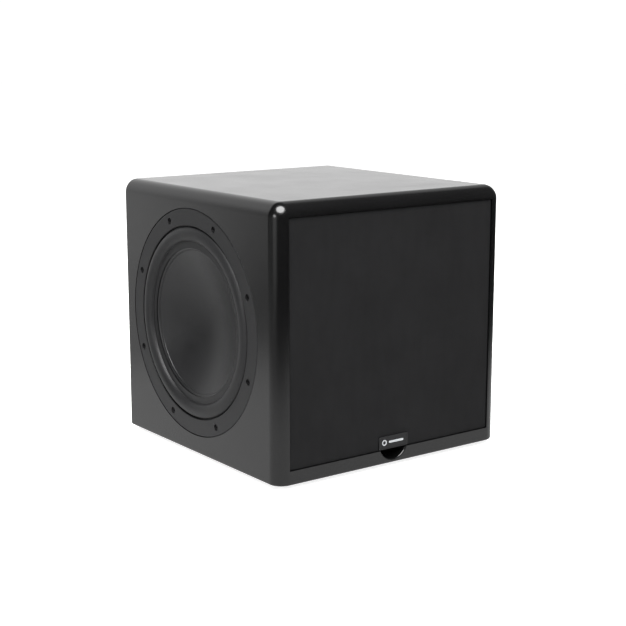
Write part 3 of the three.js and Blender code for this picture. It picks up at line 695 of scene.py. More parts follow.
def raised(outline: Sequence[Point], low: float, high: float, ease_steps: int = 4) -> bpy.types.Mesh:
    """An outline raised into a body.

    Args:
        outline: (x, y, ease) points.
        low: its lower height.
        high: its upper height.
        ease_steps: the number of faces round an eased corner.

    Returns:
        The mesh.
    """
    points = eased(outline, ease_steps)
    return layered([(points, low), (points, high)])


def rectangle(width: float, height: float, ease: float = 0.0, centre: Point = (0.0, 0.0)) -> list[Point]:
    """A rectangle's outline.

    Args:
        width: its width.
        height: its height.
        ease: its corners' radius.
        centre: its middle.

    Returns:
        (x, y, ease) points.
    """
    signs = ((-1, -1), (1, -1), (1, 1), (-1, 1))
    return [(centre[0] + i * width / 2, centre[1] + k * height / 2, ease) for i, k in signs]


def block(low: Point, high: Point) -> bpy.types.Mesh:
    """A block between two corners."""
    centre = ((low[0] + high[0]) / 2, (low[1] + high[1]) / 2)
    return raised(rectangle(high[0] - low[0], high[1] - low[1], 0.0, centre), low[2], high[2])


def moved(mesh: bpy.types.Mesh, place: Place | Matrix) -> bpy.types.Mesh:
    """A mesh carried from a local frame to the row frame, in millimetres.

    Args:
        mesh: the mesh, which is changed.
        place: the local frame, or a matrix.

    Returns:
        The same mesh.
    """
    mesh.transform(place.in_millimetres() if isinstance(place, Place) else place)
    return mesh


def copied(mesh: bpy.types.Mesh, places: Iterable[Place | Matrix]) -> list[bpy.types.Mesh]:
    """Copies of a mesh at several places.

    Args:
        mesh: the mesh, which is used up.
        places: where the copies go.

    Returns:
        The copies.
    """
    copies = [moved(mesh.copy(), place) for place in places]
    bpy.data.meshes.remove(mesh)
    return copies


def gathered(meshes: Iterable[bpy.types.Mesh]) -> bpy.types.Mesh:
    """Puts separate bodies into one mesh, side by side.

    Args:
        meshes: the bodies, which are used up.

    Returns:
        The new mesh.
    """
    shape = bmesh.new()
    for mesh in meshes:
        shape.from_mesh(mesh)
        bpy.data.meshes.remove(mesh)
    result = bpy.data.meshes.new("gathered")
    shape.to_mesh(result)
    shape.free()
    return result


def temporary(mesh: bpy.types.Mesh) -> bpy.types.Object:
    """A scratch object for a mesh, in the scene."""
    obj = bpy.data.objects.new("scratch", mesh)
    bpy.context.scene.collection.objects.link(obj)
    return obj


def evaluated(obj: bpy.types.Object) -> bpy.types.Mesh:
    """What a scratch object's modifiers make of its mesh, as a plain mesh; the object is removed.

    Args:
        obj: the scratch object.

    Returns:
        The plain mesh.
    """
    bpy.context.view_layer.update()
    depsgraph = bpy.context.evaluated_depsgraph_get()
    result = bpy.data.meshes.new_from_object(obj.evaluated_get(depsgraph), depsgraph=depsgraph)
    old = obj.data
    bpy.data.objects.remove(obj)
    if old.users == 0:
        bpy.data.meshes.remove(old)
    return result


def carved(
    base: bpy.types.Mesh, cutters: Iterable[bpy.types.Mesh], operation: str = "DIFFERENCE"
) -> bpy.types.Mesh:
    """Cuts tools out of a body, or joins them to it.

    Args:
        base: the body, which is used up.
        cutters: the tools, which are used up.
        operation: DIFFERENCE or UNION.

    Returns:
        The new mesh.
    """
    body = temporary(base)
    tools = [temporary(cutter) for cutter in cutters]
    for tool in tools:
        modifier = body.modifiers.new("carve", "BOOLEAN")
        modifier.operation = operation
        modifier.solver = "EXACT"
        modifier.object = tool
    result = evaluated(body)
    for tool in tools:
        mesh = tool.data
        bpy.data.objects.remove(tool)
        bpy.data.meshes.remove(mesh)
    return result


def softened(mesh: bpy.types.Mesh, ease: float, angle: float = 35.0, segments: int = 2) -> bpy.types.Mesh:
    """Eases a body's sharp edges.

    Args:
        mesh: the body, which is used up.
        ease: the width of the eased edge.
        angle: the sharpness from which an edge is eased, in degrees.
        segments: the number of faces across it.

    Returns:
        The new mesh.
    """
    obj = temporary(mesh)
    bevel = obj.modifiers.new("ease", "BEVEL")
    bevel.width = ease
    bevel.segments = segments
    bevel.limit_method = "ANGLE"
    bevel.angle_limit = math.radians(angle)
    return evaluated(obj)


def settle_normals(mesh: bpy.types.Mesh, angle: float) -> None:
    """Shades a mesh smooth, with the large faces deciding, so that flat faces stay flat beside eased edges.

    Args:
        mesh: the mesh.
        angle: the sharpness from which an edge stays sharp, in degrees.
    """
    limit = math.cos(math.radians(angle))
    meeting: list[list[int]] = [[] for _ in mesh.vertices]
    for polygon in mesh.polygons:
        for vertex in polygon.vertices:
            meeting[vertex].append(polygon.index)
    normals = [polygon.normal.copy() for polygon in mesh.polygons]
    pulls = [normal * (polygon.area / MM**2) ** 2 for normal, polygon in zip(normals, mesh.polygons)]
    split = []
    for polygon in mesh.polygons:
        own = normals[polygon.index]
        for vertex in polygon.vertices:
            near = (pulls[i] for i in meeting[vertex] if normals[i].dot(own) > limit)
            split.append(sum(near, own * 1e-9).normalized())
    mesh.polygons.foreach_set("use_smooth", [True] * len(mesh.polygons))
    mesh.normals_split_custom_set(split)


@dataclass
class Piece:
    """How a piece joins the scene: its body, its finish, a slot name that is not used, and the nodes it
    stands for.
    """

    name: str
    body: str
    finish: Finish
    slot: str = ""
    stands_for: tuple[str, ...] = ()
    sharp: float = 32.0
    settled: bool = False

    def show(self, mesh: bpy.types.Mesh, place: Place | None = None, ride: bool = True) -> bpy.types.Object:
        """Makes the object.

        Args:
            mesh: its mesh, in millimetres.
            place: its local frame, or None if it lies in the row frame already.
            ride: False to leave the piece unattached to its body.

        Returns:
            The object, at the origin, with its place in its mesh.
        """
        mesh.transform((place or Place()).matrix())
        mesh.name = self.name
        mesh.materials.clear()
        mesh.materials.append(self.finish.material())
        mesh.polygons.foreach_set("material_index", [0] * len(mesh.polygons))
        if self.settled:
            settle_normals(mesh, 50.0)
        else:
            mesh.polygons.foreach_set("use_smooth", [True] * len(mesh.polygons))
            mesh.set_sharp_from_angle(angle=math.radians(self.sharp))
        obj = bpy.data.objects.new(self.name, mesh)
        bpy.context.scene.collection.objects.link(obj)
        if ride:
            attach(obj, self.body)
        if self.stands_for:
            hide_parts(*self.stands_for)
        log.info("%s: %d faces on %s", self.name, len(mesh.polygons), self.body)
        return obj


# ---- Geometry Nodes ---------------------------------------------------------------------------------


class Socket(Enum):
    """The kinds of input that a geometry tree has."""

    FLOAT = "NodeSocketFloat"
    WHOLE = "NodeSocketInt"
    OBJECT = "NodeSocketObject"
    MATERIAL = "NodeSocketMaterial"


class Builder(Tree):
    """A geometry tree with named inputs, which ends in Realize Instances and Set Material."""

    def __init__(self, name: str, inputs: dict[str, Socket]) -> None:
        """Makes the tree and its interface.

        Args:
            name: the tree's name.
            inputs: its inputs' names and kinds.
        """
        super().__init__(bpy.data.node_groups.new(name, "GeometryNodeTree"))
        face = self.tree.interface
        face.new_socket("Geometry", in_out="INPUT", socket_type="NodeSocketGeometry")
        face.new_socket("Geometry", in_out="OUTPUT", socket_type="NodeSocketGeometry")
        self.named = {}
        for label, kind in {**inputs, "Finish": Socket.MATERIAL}.items():
            made = face.new_socket(label, in_out="INPUT", socket_type=kind.value)
            self.named[label] = made.identifier
        self.source = self.node("NodeGroupInput")

    def given(self, label: str) -> Sock:
        """One of the tree's own inputs."""
        return Sock(self, self.source.outputs[label])

    def vector(self, x: Value, y: Value, z: Value) -> Sock:
        """A vector from three numbers."""
        return self.make("ShaderNodeCombineXYZ", {}, {0: x, 1: y, 2: z})

    def end(self, geometry: Sock) -> None:
        """Realizes and finishes the geometry.

        Args:
            geometry: what the tree has made.
        """
        real = self.make("GeometryNodeRealizeInstances", {}, {0: geometry})
        inputs = {"Geometry": real, "Material": self.given("Finish")}
        self.node("NodeGroupOutput", inputs={0: self.make("GeometryNodeSetMaterial", {}, inputs)})

    def run(self, **values: Any) -> bpy.types.Mesh:
        """Runs the tree once.

        Args:
            values: its inputs, with an underscore for each space in their names.

        Returns:
            The plain mesh that it makes.
        """
        obj = temporary(bpy.data.meshes.new("seed"))
        modifier = obj.modifiers.new("build", "NODES")
        modifier.node_group = self.tree
        for label, value in values.items():
            modifier[self.named[label.replace("_", " ")]] = value
        return evaluated(obj)


def polar_tree() -> Builder:
    """Copies of a template round Z.

    Returns:
        A tree with the inputs Template, Count, Radius, First and Step, the angles in radians.
    """
    tree = Builder(
        "polar_copies",
        {
            "Template": Socket.OBJECT,
            "Count": Socket.WHOLE,
            "Radius": Socket.FLOAT,
            "First": Socket.FLOAT,
            "Step": Socket.FLOAT,
        },
    )
    index = tree.make("GeometryNodeInputIndex")
    angle = tree.given("First") + index * tree.given("Step")
    radius = tree.given("Radius")
    spot = tree.vector(angle.cosine() * radius, angle.sine() * radius, 0.0)
    line = tree.make("GeometryNodeMeshLine", {"mode": "OFFSET"}, {"Count": tree.given("Count")})
    points = tree.make("GeometryNodeSetPosition", {}, {"Geometry": line, "Position": spot})
    turn = tree.make("FunctionNodeEulerToRotation", {}, {0: tree.vector(0.0, 0.0, angle)})
    template = tree.make("GeometryNodeObjectInfo", {}, {"Object": tree.given("Template")}, "Geometry")
    inputs = {"Points": points, "Instance": template, "Rotation": turn}
    tree.end(tree.make("GeometryNodeInstanceOnPoints", {}, inputs))
    return tree


def row_tree() -> Builder:
    """Copies of a template along X, about the middle.

    Returns:
        A tree with the inputs Template, Count and Pitch.
    """
    tree = Builder(
        "row_copies", {"Template": Socket.OBJECT, "Count": Socket.WHOLE, "Pitch": Socket.FLOAT}
    )
    pitch = tree.given("Pitch")
    start = tree.vector((1 - tree.given("Count")) * pitch / 2, 0.0, 0.0)
    inputs = {
        "Count": tree.given("Count"),
        "Start Location": start,
        "Offset": tree.vector(pitch, 0.0, 0.0),
    }
    line = tree.make("GeometryNodeMeshLine", {"mode": "OFFSET"}, inputs)
    template = tree.make("GeometryNodeObjectInfo", {}, {"Object": tree.given("Template")}, "Geometry")
    copies = tree.make("GeometryNodeInstanceOnPoints", {}, {"Points": line, "Instance": template})
    tree.end(copies)
    return tree


def flexing_tree() -> Builder:
    """A flexible ring turned about Z: a half roll for a surround, or waves for a damper.

    A grid's X runs round the ring's closed section and its Y round the axis. Going round the section, a
    point runs along the upper skin from the inner edge to the outer, and back along the lower skin.

    Returns:
        A tree with the inputs Inner, Outer, Landing In, Landing Out, Level, Thickness, Height, Waves,
        Roundness, Steps and Segments.
    """
    tree = Builder(
        "flexing_ring",
        {
            "Inner": Socket.FLOAT,
            "Outer": Socket.FLOAT,
            "Landing In": Socket.FLOAT,
            "Landing Out": Socket.FLOAT,
            "Level": Socket.FLOAT,
            "Thickness": Socket.FLOAT,
            "Height": Socket.FLOAT,
            "Waves": Socket.FLOAT,
            "Roundness": Socket.FLOAT,
            "Steps": Socket.WHOLE,
            "Segments": Socket.WHOLE,
        },
    )
    grid = {
        "Size X": 2.0,
        "Size Y": 1.0,
        "Vertices X": tree.given("Steps"),
        "Vertices Y": tree.given("Segments"),
    }
    sheet = tree.make("GeometryNodeMeshGrid", {}, grid)
    spot = tree.node("ShaderNodeSeparateXYZ", inputs={0: tree.make("GeometryNodeInputPosition")})
    round_section = Sock(tree, spot.outputs[0]) + 1.0
    turn = (Sock(tree, spot.outputs[1]) + 0.5) * (2 * math.pi)
    upper = round_section.math("LESS_THAN", round_section, 1.0)
    share = (round_section * 1.04 - 0.02).least(1.0).most(0.0)
    back = ((2.0 - round_section) * 1.04 - 0.02).least(1.0).most(0.0)
    share = upper * share + (1 - upper) * back
    edge = 0.16
    flex = ((share - edge) / (1 - 2 * edge)).least(1.0).most(0.0)
    inner, outer = tree.given("Inner"), tree.given("Outer")
    roundness = tree.given("Roundness")
    swept = 0.5 - (flex * math.pi).cosine() * 0.5
    along = roundness * swept + (1 - roundness) * flex
    landing_in = (1 - share / edge).most(0.0) * tree.given("Landing In")
    landing_out = ((share - 1 + edge) / edge).most(0.0) * tree.given("Landing Out")
    radius = inner + (outer - inner) * along - landing_in + landing_out
    wave = (flex * (2 * math.pi) * tree.given("Waves")).sine() * tree.given("Height")
    half = tree.given("Thickness") / 2
    slope = (flex * (2 * math.pi) * tree.given("Waves")).cosine() * roundness
    lift = (upper * 2 - 1) * half
    radius = radius - slope * lift * 0.5
    height = tree.given("Level") + wave + lift
    place = tree.vector(turn.cosine() * radius, turn.sine() * radius, height)
    formed = tree.make("GeometryNodeSetPosition", {}, {"Geometry": sheet, "Position": place})
    closed = tree.make("GeometryNodeMergeByDistance", {}, {"Geometry": formed, "Distance": 0.002})
    tree.end(closed)
    return tree


class Copies:
    """Repeats a template through the trees above."""

    def __init__(self) -> None:
        """Builds the trees once."""
        self.polar = polar_tree()
        self.row = row_tree()
        self.flexing = flexing_tree()

    def _with(
        self, template: bpy.types.Mesh, run: Callable[[bpy.types.Object], bpy.types.Mesh]
    ) -> bpy.types.Mesh:
        """Runs a tree with a template, and removes the template.

        Args:
            template: the mesh to repeat, which is used up.
            run: what makes the copies from its scratch object.

        Returns:
            The copies.
        """
        obj = temporary(template)
        result = run(obj)
        bpy.data.objects.remove(obj)
        bpy.data.meshes.remove(template)
        return result

    def around(
        self,
        template: bpy.types.Mesh,
        finish: Finish,
        count: int,
        radius: float,
        first: float = 0.0,
        step: float | None = None,
    ) -> bpy.types.Mesh:
        """Copies round Z.

        Args:
            template: the mesh to repeat.
            finish: its finish.
            count: how many.
            radius: their distance from the axis.
            first: the first one's angle, in degrees.
            step: the angle between two, in degrees, or None for the full circle.

        Returns:
            The copies, as one mesh.
        """
        values = {
            "Count": count,
            "Radius": float(radius),
            "First": math.radians(first),
            "Step": math.radians(360.0 / count if step is None else step),
            "Finish": finish.material(),
        }
        return self._with(template, lambda obj: self.polar.run(Template=obj, **values))

    def along(self, template: bpy.types.Mesh, finish: Finish, count: int, pitch: float) -> bpy.types.Mesh:
        """Copies along X.

        Args:
            template: the mesh to repeat.
            finish: its finish.
            count: how many.
            pitch: the distance between two.

        Returns:
            The copies, as one mesh.
        """
        values = {"Count": count, "Pitch": float(pitch), "Finish": finish.material()}
        return self._with(template, lambda obj: self.row.run(Template=obj, **values))


def peg_spots(inset: float = 7.6) -> list[tuple[float, float]]:
    """The (x, z) places of the grille's four pegs, from its frame's box, in millimetres.

    Args:
        inset: how far a peg's middle lies inside the frame's sides.

    Returns:
        The four places.
    """
    low, high = corners("grille_frame")
    return [(x, z) for x in (low.x + inset, high.x - inset) for z in (low.z + inset, high.z - inset)]


# ---- Cabinet ----------------------------------------------------------------------------------------


@dataclass
class Cabinet:
    """The lacquered shell with its grille pocket and finger notch, the baffle, and the rubber feet."""

    wall: float = 16.0
    edge: float = 16.0
    arc_steps: int = 16
    small_edge: float = 2.2
    small_steps: int = 4
    notch_radius: float = 20.2
    notch_rim: float = 1.7
    notch_centre: float = 29.6
    rebate_radius: float = 131.6
    rebate_depth: float = 6.1
    hole_radius: float = 117.7
    baffle_front: float = -145.5
    baffle_back: float = -127.5
    plate_rebate: Point = (171.2, 237.2)
    service_hole: Point = (152.0, 218.0)
    low: Vector = field(default_factory=lambda: corners("left_panel")[0])
    high: Vector = field(default_factory=lambda: corners("right_panel")[1])
    top: float = field(default_factory=lambda: corners("top_panel")[1].z)

    def _outline(self, inset: float, radius: float, back: float) -> list[tuple[float, float]]:
        """The shell's outline from above.

        Args:
            inset: how far it is drawn in at the front and sides.
            radius: the radius of its front corners.
            back: how far it is drawn in at the rear.

        Returns:
            (x, y) points, with lightly eased corners at the rear.
        """
        side = self.high.x - inset
        front = (radius, self.arc_steps, self.low.y + inset, 1)
        rear = (self.small_edge, self.small_steps, self.high.y - back, -1)
        points = []
        for round_radius, steps, level, way in (front, rear):
            arc = quarter(round_radius, steps)
            for sign, run in ((-way, arc), (way, arc[::-1])):
                points += [
                    (sign * (side - round_radius + out), level + way * (round_radius - up)) for out, up in run
                ]
        return points

    def _outside(self) -> bpy.types.Mesh:
        """The solid that the shell is cut from.

        Returns:
            A body with a quarter round along its top and its upright front edges, and its other edges eased.
        """
        levels = []
        for out, up in quarter(self.small_edge, self.small_steps):
            inset = self.small_edge - up
            outline = self._outline(inset, self.edge - inset, inset)
            levels.append((outline, self.low.z + self.small_edge - out))
        for out, up in quarter(self.edge, self.arc_steps):
            over = max(0.0, self.small_edge - self.edge + up)
            back = self.small_edge - math.sqrt(self.small_edge**2 - over**2)
            levels.append((self._outline(self.edge - out, out, back), self.top - self.edge + up))
        return layered(levels)

    def _notch(self) -> bpy.types.Mesh:
        """The cutter for the finger notch: a round scoop whose rim is rolled over.

        Returns:
            The cutter, in the row frame.
        """
        rim, scoop = self.notch_rim, self.notch_radius
        waist = math.sqrt(scoop**2 - rim**2)
        rolled = [(waist + rim - up, out - rim) for out, up in quarter(rim, 6)]
        start = math.asin(rim / scoop)
        angles = [start + step / 16 * (math.pi / 2 - start) for step in range(1, 17)]
        bowl = [(scoop * math.cos(angle), -scoop * math.sin(angle)) for angle in angles]
        profile = [(0.0, 3.0), (waist + rim, 3.0), *rolled, *bowl]
        return moved(turned(profile, 96), Place(Side.FRONT, (0.0, self.low.y, self.notch_centre)))

    def _chassis_hole(self, place: Place, through: float) -> bpy.types.Mesh:
        """The cutter for a chassis: a hole for its basket and a rebate for its flange.

        Args:
            place: the chassis's frame.
            through: how far the hole goes in.

        Returns:
            The cutter, in the row frame.
        """
        profile = [
            (0.0, -through),
            (self.hole_radius, -through),
            (self.hole_radius, -self.rebate_depth),
            (self.rebate_radius, -self.rebate_depth),
            (self.rebate_radius, 2.0),
            (0.0, 2.0),
        ]
        return moved(turned(profile, 144), place)

    def build(self, radiators: Sequence[Place], woofer: Place, plate: Place) -> None:
        """Builds the shell, the baffle and the feet.

        Args:
            radiators: the side radiators' frames.
            woofer: the woofer's frame.
            plate: the amplifier plate's frame, at its outer face.
        """
        inner = self.high.x - self.wall
        floor, roof = self.low.z + self.wall, self.top - self.wall
        pocket = block((-inner, self.low.y - 1, floor), (inner, self.high.y - self.wall, roof))
        rebate = moved(raised(rectangle(*self.plate_rebate, 4.6), -3.3, 2.0), plate)
        service = moved(raised(rectangle(*self.service_hole, 3.0), -self.wall - 3, 1.0), plate)
        holes = [self._chassis_hole(place, self.wall + 3) for place in radiators]
        shell = carved(self._outside(), [pocket, self._notch(), rebate, service, *holes])
        nodes = ("top_panel", "left_panel", "right_panel", "bottom_panel", "rear_panel")
        Piece("cabinet_shell", "cabinet", Kit.lacquer, "cabinet_finish", nodes, settled=True).show(
            softened(shell, 0.5)
        )
        panel = block((-inner, self.baffle_front, floor), (inner, self.baffle_back, roof))
        peg_hole = turned([(0.0, -11.0), (4.3, -11.0), (4.3, 2.0), (0.0, 2.0)], 24)
        pegs = copied(peg_hole, [Place(Side.FRONT, (x, self.baffle_front, z)) for x, z in peg_spots()])
        baffle = carved(panel, [self._chassis_hole(woofer, 22.0), *pegs])
        Piece("baffle_face", "cabinet", Kit.board, "baffle_board", ("front_baffle",), settled=True).show(
            softened(baffle, 0.4)
        )
        self._feet()

    def _feet(self) -> None:
        """Builds the four feet, each a tapered rubber disc with a recess in the middle of its underside."""
        profile = [
            (0.0, 1.7),
            (4.5, 1.7, 0.3),
            (4.5, 0.0, 0.4),
            (11.2, 0.0, 0.8),
            (14.0, 3.6, 0.5),
            (14.0, 5.0, 0.3),
            (0.0, 5.0),
        ]
        for node in ("foot_front_left", "foot_front_right", "foot_rear_left", "foot_rear_right"):
            spot = middle(node)
            place = Place(origin=(spot.x, spot.y, 0.0))
            name = node + "_pad"
            Piece(name, "cabinet", Kit.foot_rubber, "rubber", (node,)).show(turned(profile, 64), place)


# ---- Chassis ----------------------------------------------------------------------------------------


@dataclass
class Chassis:
    """What the woofer and the radiators share: the surround's half roll and the ring of screws."""

    name: str
    diaphragm: str
    place: Place
    copies: Copies
    roll_inner: float = 94.0
    roll_outer: float = 110.0
    roll_height: float = 5.5
    landing_mid: float = -3.9
    cone_top: float = -4.8
    dish_radius: float = 86.0
    cone_radius: float = 92.5
    screw_circle: float = 121.6
    screw_seat: float = -2.6
    screw_count: int = 8
    first_screw: float = 22.5
    damper_outer: float = 65.0

    def _flex(self, obj: bpy.types.Object, inner: float, outer: float) -> None:
        """Bakes a ring's place into its mesh, and works out each point's share between the two radii; the
        share is not used, so the ring does not stretch.

        Args:
            obj: the ring.
            inner: the radius inside which the share is 1.
            outer: the radius outside which the share is 0.
        """
        away = self.place.side.turn() @ Vector((0.0, 0.0, 1.0))
        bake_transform(obj)
        back = self.place.matrix().inverted()
        for vertex in obj.data.vertices:
            share = (outer - (back @ vertex.co).xy.length) / (outer - inner)
            share = min(1.0, max(0.0, share))

    def _surround(self) -> None:
        """Builds the half roll of butyl rubber between the cone's lip and the flange."""
        mesh = self.copies.flexing.run(
            Inner=self.roll_inner,
            Outer=self.roll_outer,
            Landing_In=8.0,
            Landing_Out=4.0,
            Level=self.landing_mid,
            Thickness=1.2,
            Height=self.roll_height,
            Waves=0.5,
            Roundness=1.0,
            Steps=61,
            Segments=161,
            Finish=Kit.rubber.material(),
        )
        node = self.name + "_surround"
        piece = Piece(self.name + "_half_roll", self.diaphragm, Kit.rubber, "rubber", (node,), 40.0)
        self._flex(piece.show(mesh, self.place, ride=False), self.roll_inner, self.roll_outer)

    def _damper(self, inner: float, level: float) -> None:
        """Builds the waved cloth disc that centres the diaphragm.

        Args:
            inner: its inner radius.
            level: the height of its lower face.
        """
        mesh = self.copies.flexing.run(
            Inner=inner + 2.0,
            Outer=self.damper_outer,
            Landing_In=2.0,
            Landing_Out=7.0,
            Level=level + 0.45,
            Thickness=0.9,
            Height=1.2,
            Waves=4.0,
            Roundness=0.0,
            Steps=97,
            Segments=97,
            Finish=Kit.damper.material(),
        )
        node = self.name + "_spider"
        piece = Piece(self.name + "_damper", self.diaphragm, Kit.damper, "spider_cloth", (node,), 40.0)
        self._flex(piece.show(mesh, self.place, ride=False), inner + 2.0, self.damper_outer)

    def _screw(self) -> bpy.types.Mesh:
        """A cap screw with a hex socket, its head's underside at height 0.

        Returns:
            The mesh.
        """
        head = turned([(0.0, -2.5), (1.9, -2.5), (1.9, 0.0), (3.0, 0.0), (3.0, 1.3, 0.3), (0.0, 1.3)], 24, 2)
        hexagon = [tuple(polar(1.6, angle).xy) for angle in range(0, 360, 60)]
        return carved(head, [raised(hexagon, 0.2, 2.0)])

    def _screws(self, stands_for: tuple[str, ...]) -> None:
        """Builds the eight screws.

        Args:
            stands_for: the screws' CAD nodes, where they have them.
        """
        screw = self._screw()
        ring = self.copies.around(screw, Kit.blackened, self.screw_count, self.screw_circle, self.first_screw)
        piece = Piece(self.name + "_screws", "cabinet", Kit.blackened, "screw_metal", stands_for)
        piece.show(moved(ring, shift(0.0, 0.0, self.screw_seat)), self.place)


@dataclass
class Radiator(Chassis):
    """A passive radiator: its trim ring, dished cone, surround, damper and screws."""

    ring_inner: float = 111.5
    flange_radius: float = 131.0
    ring_thickness: float = 3.0
    dish_depth: float = 26.0
    bead_inset: float = 3.6

    def _ring(self) -> None:
        """Builds the trim ring, with a countersunk recess for each screw."""
        profile = [
            (self.ring_inner, -self.ring_thickness),
            (self.flange_radius, -self.ring_thickness),
            (self.flange_radius, 0.0, 1.5),
            (self.ring_inner, 0.0, 1.0),
        ]
        recess = turned([(0.0, -2.6), (3.8, -2.6), (3.8, 1.0), (0.0, 1.0)], 32)
        angles = (self.first_screw + 360.0 / self.screw_count * k for k in range(self.screw_count))
        spots = [Matrix.Translation(polar(self.screw_circle, angle)) for angle in angles]
        ring = softened(carved(turned(profile, 160), copied(recess, spots)), 0.22, 50.0)
        nodes = (self.name + "_ring",)
        piece = Piece(self.name + "_trim", "cabinet", Kit.ring, "ring_plastic", nodes, settled=True)
        piece.show(ring, self.place)

    def _cone(self) -> None:
        """Builds the dished diaphragm, with a fine bead just inside its lip."""
        thickness = 1.6
        rim = self.dish_radius - self.bead_inset
        steps = 24
        face = []
        for k in range(steps + 1):
            radius = rim * (k / steps) ** 0.8
            height = self.cone_top - self.dish_depth * (1 - (radius / self.dish_radius) ** 2)
            face.append((radius, height))
        foot = face[-1][1]
        bead = [(rim + 0.25, foot + 0.55, 0.2), (rim + 0.9, foot + 0.8, 0.3), (rim + 1.5, foot + 0.75, 0.2)]
        shoulder = [(self.dish_radius - 0.3, self.cone_top, 0.3)]
        lip = [(self.cone_radius, self.cone_top), (self.cone_radius, self.cone_top - thickness)]
        back = [(radius, height - thickness) for radius, height in reversed(face)]
        node = self.name + "_cone"
        Piece(self.name + "_dish", self.diaphragm, Kit.cone, "cone_material", (node,), 24.0).show(
            turned([*face, *bead, *shoulder, *lip, *back], 160), self.place
        )

    def build(self, screw_nodes: tuple[str, ...] = ()) -> None:
        """Builds the radiator.

        Args:
            screw_nodes: the CAD nodes that its screws stand for.
        """
        self._ring()
        self._cone()
        self._surround()
        self._damper(27.3, -46.7)
        self._screws(screw_nodes)


@dataclass
class Woofer(Chassis):
    """The woofer behind the grille: its basket, cone, dust cap, surround, damper and screws."""

    screw_seat: float = -3.3
    neck_radius: float = 26.5
    neck_depth: float = 44.0
    cap_radius: float = 36.5

    def _face(self, radius: float) -> float:
        """The height of the cone's front face at a radius."""
        share = (radius - self.neck_radius) / (self.dish_radius - self.neck_radius)
        return self.cone_top - self.neck_depth * (1 - min(1.0, share)) ** 1.15

    def _cone(self) -> None:
        """Builds the cone and the domed dust cap over its neck."""
        thickness = 1.6
        rim = self.dish_radius - 0.6
        radii = [self.neck_radius + (rim - self.neck_radius) * k / 16 for k in range(17)]
        face = [(radius, self._face(radius)) for radius in radii]
        lip = [(self.cone_radius, self.cone_top), (self.cone_radius, self.cone_top - thickness)]
        back = [(radius, height - thickness) for radius, height in reversed(face)]
        Piece("woofer_cone_body", self.diaphragm, Kit.cone, "cone_material", ("woofer_cone",), 24.0).show(
            turned([*face, *lip, *back], 144), self.place
        )
        base = self._face(self.cap_radius) + 0.3
        shares = [k / 14 for k in range(15)]
        dome = [(share * self.cap_radius, base + 1.2 + 9.0 * (1 - share * share)) for share in shares]
        under = [(radius, height - 1.2) for radius, height in reversed(dome)]
        Piece("dust_dome", self.diaphragm, Kit.cone, "cone_material", ("woofer_dust_cap",), 30.0).show(
            turned([*dome, *under], 96), self.place
        )

    def _basket(self) -> None:
        """Builds the pressed basket: flange, ledges, six windows and the magnet's seat."""
        profile = [
            (130.4, -3.3, 0.4),
            (115.5, -3.3, 0.3),
            (115.5, -4.8),
            (109.5, -4.8),
            (109.5, -7.0),
            (112.5, -7.0),
            (111.8, -20.1),
            (73.0, -58.0),
            (66.0, -58.0),
            (62.0, -74.0),
            (33.6, -74.0),
            (33.6, -76.5),
            (65.0, -76.5),
            (75.5, -60.5),
            (115.0, -22.1),
            (117.0, -5.8),
            (130.4, -5.8, 0.4),
        ]
        window = raised([(66.0, -24.0, 4.0), (123.0, -40.0), (123.0, 40.0), (66.0, 24.0, 4.0)], -53.0, -23.1)
        turns = [Matrix.Rotation(math.radians(30 + 60 * k), 4, "Z") for k in range(6)]
        basket = carved(turned(profile, 128), copied(window, turns))
        piece = Piece("woofer_frame", "cabinet", Kit.pressed, "basket_metal", ("woofer_basket",))
        piece.show(basket, self.place)

    def build(self) -> None:
        """Builds the woofer."""
        self._basket()
        self._cone()
        self._surround()
        self._damper(self.neck_radius, -57.7)
        self._screws(())


# ---- Grille -----------------------------------------------------------------------------------------


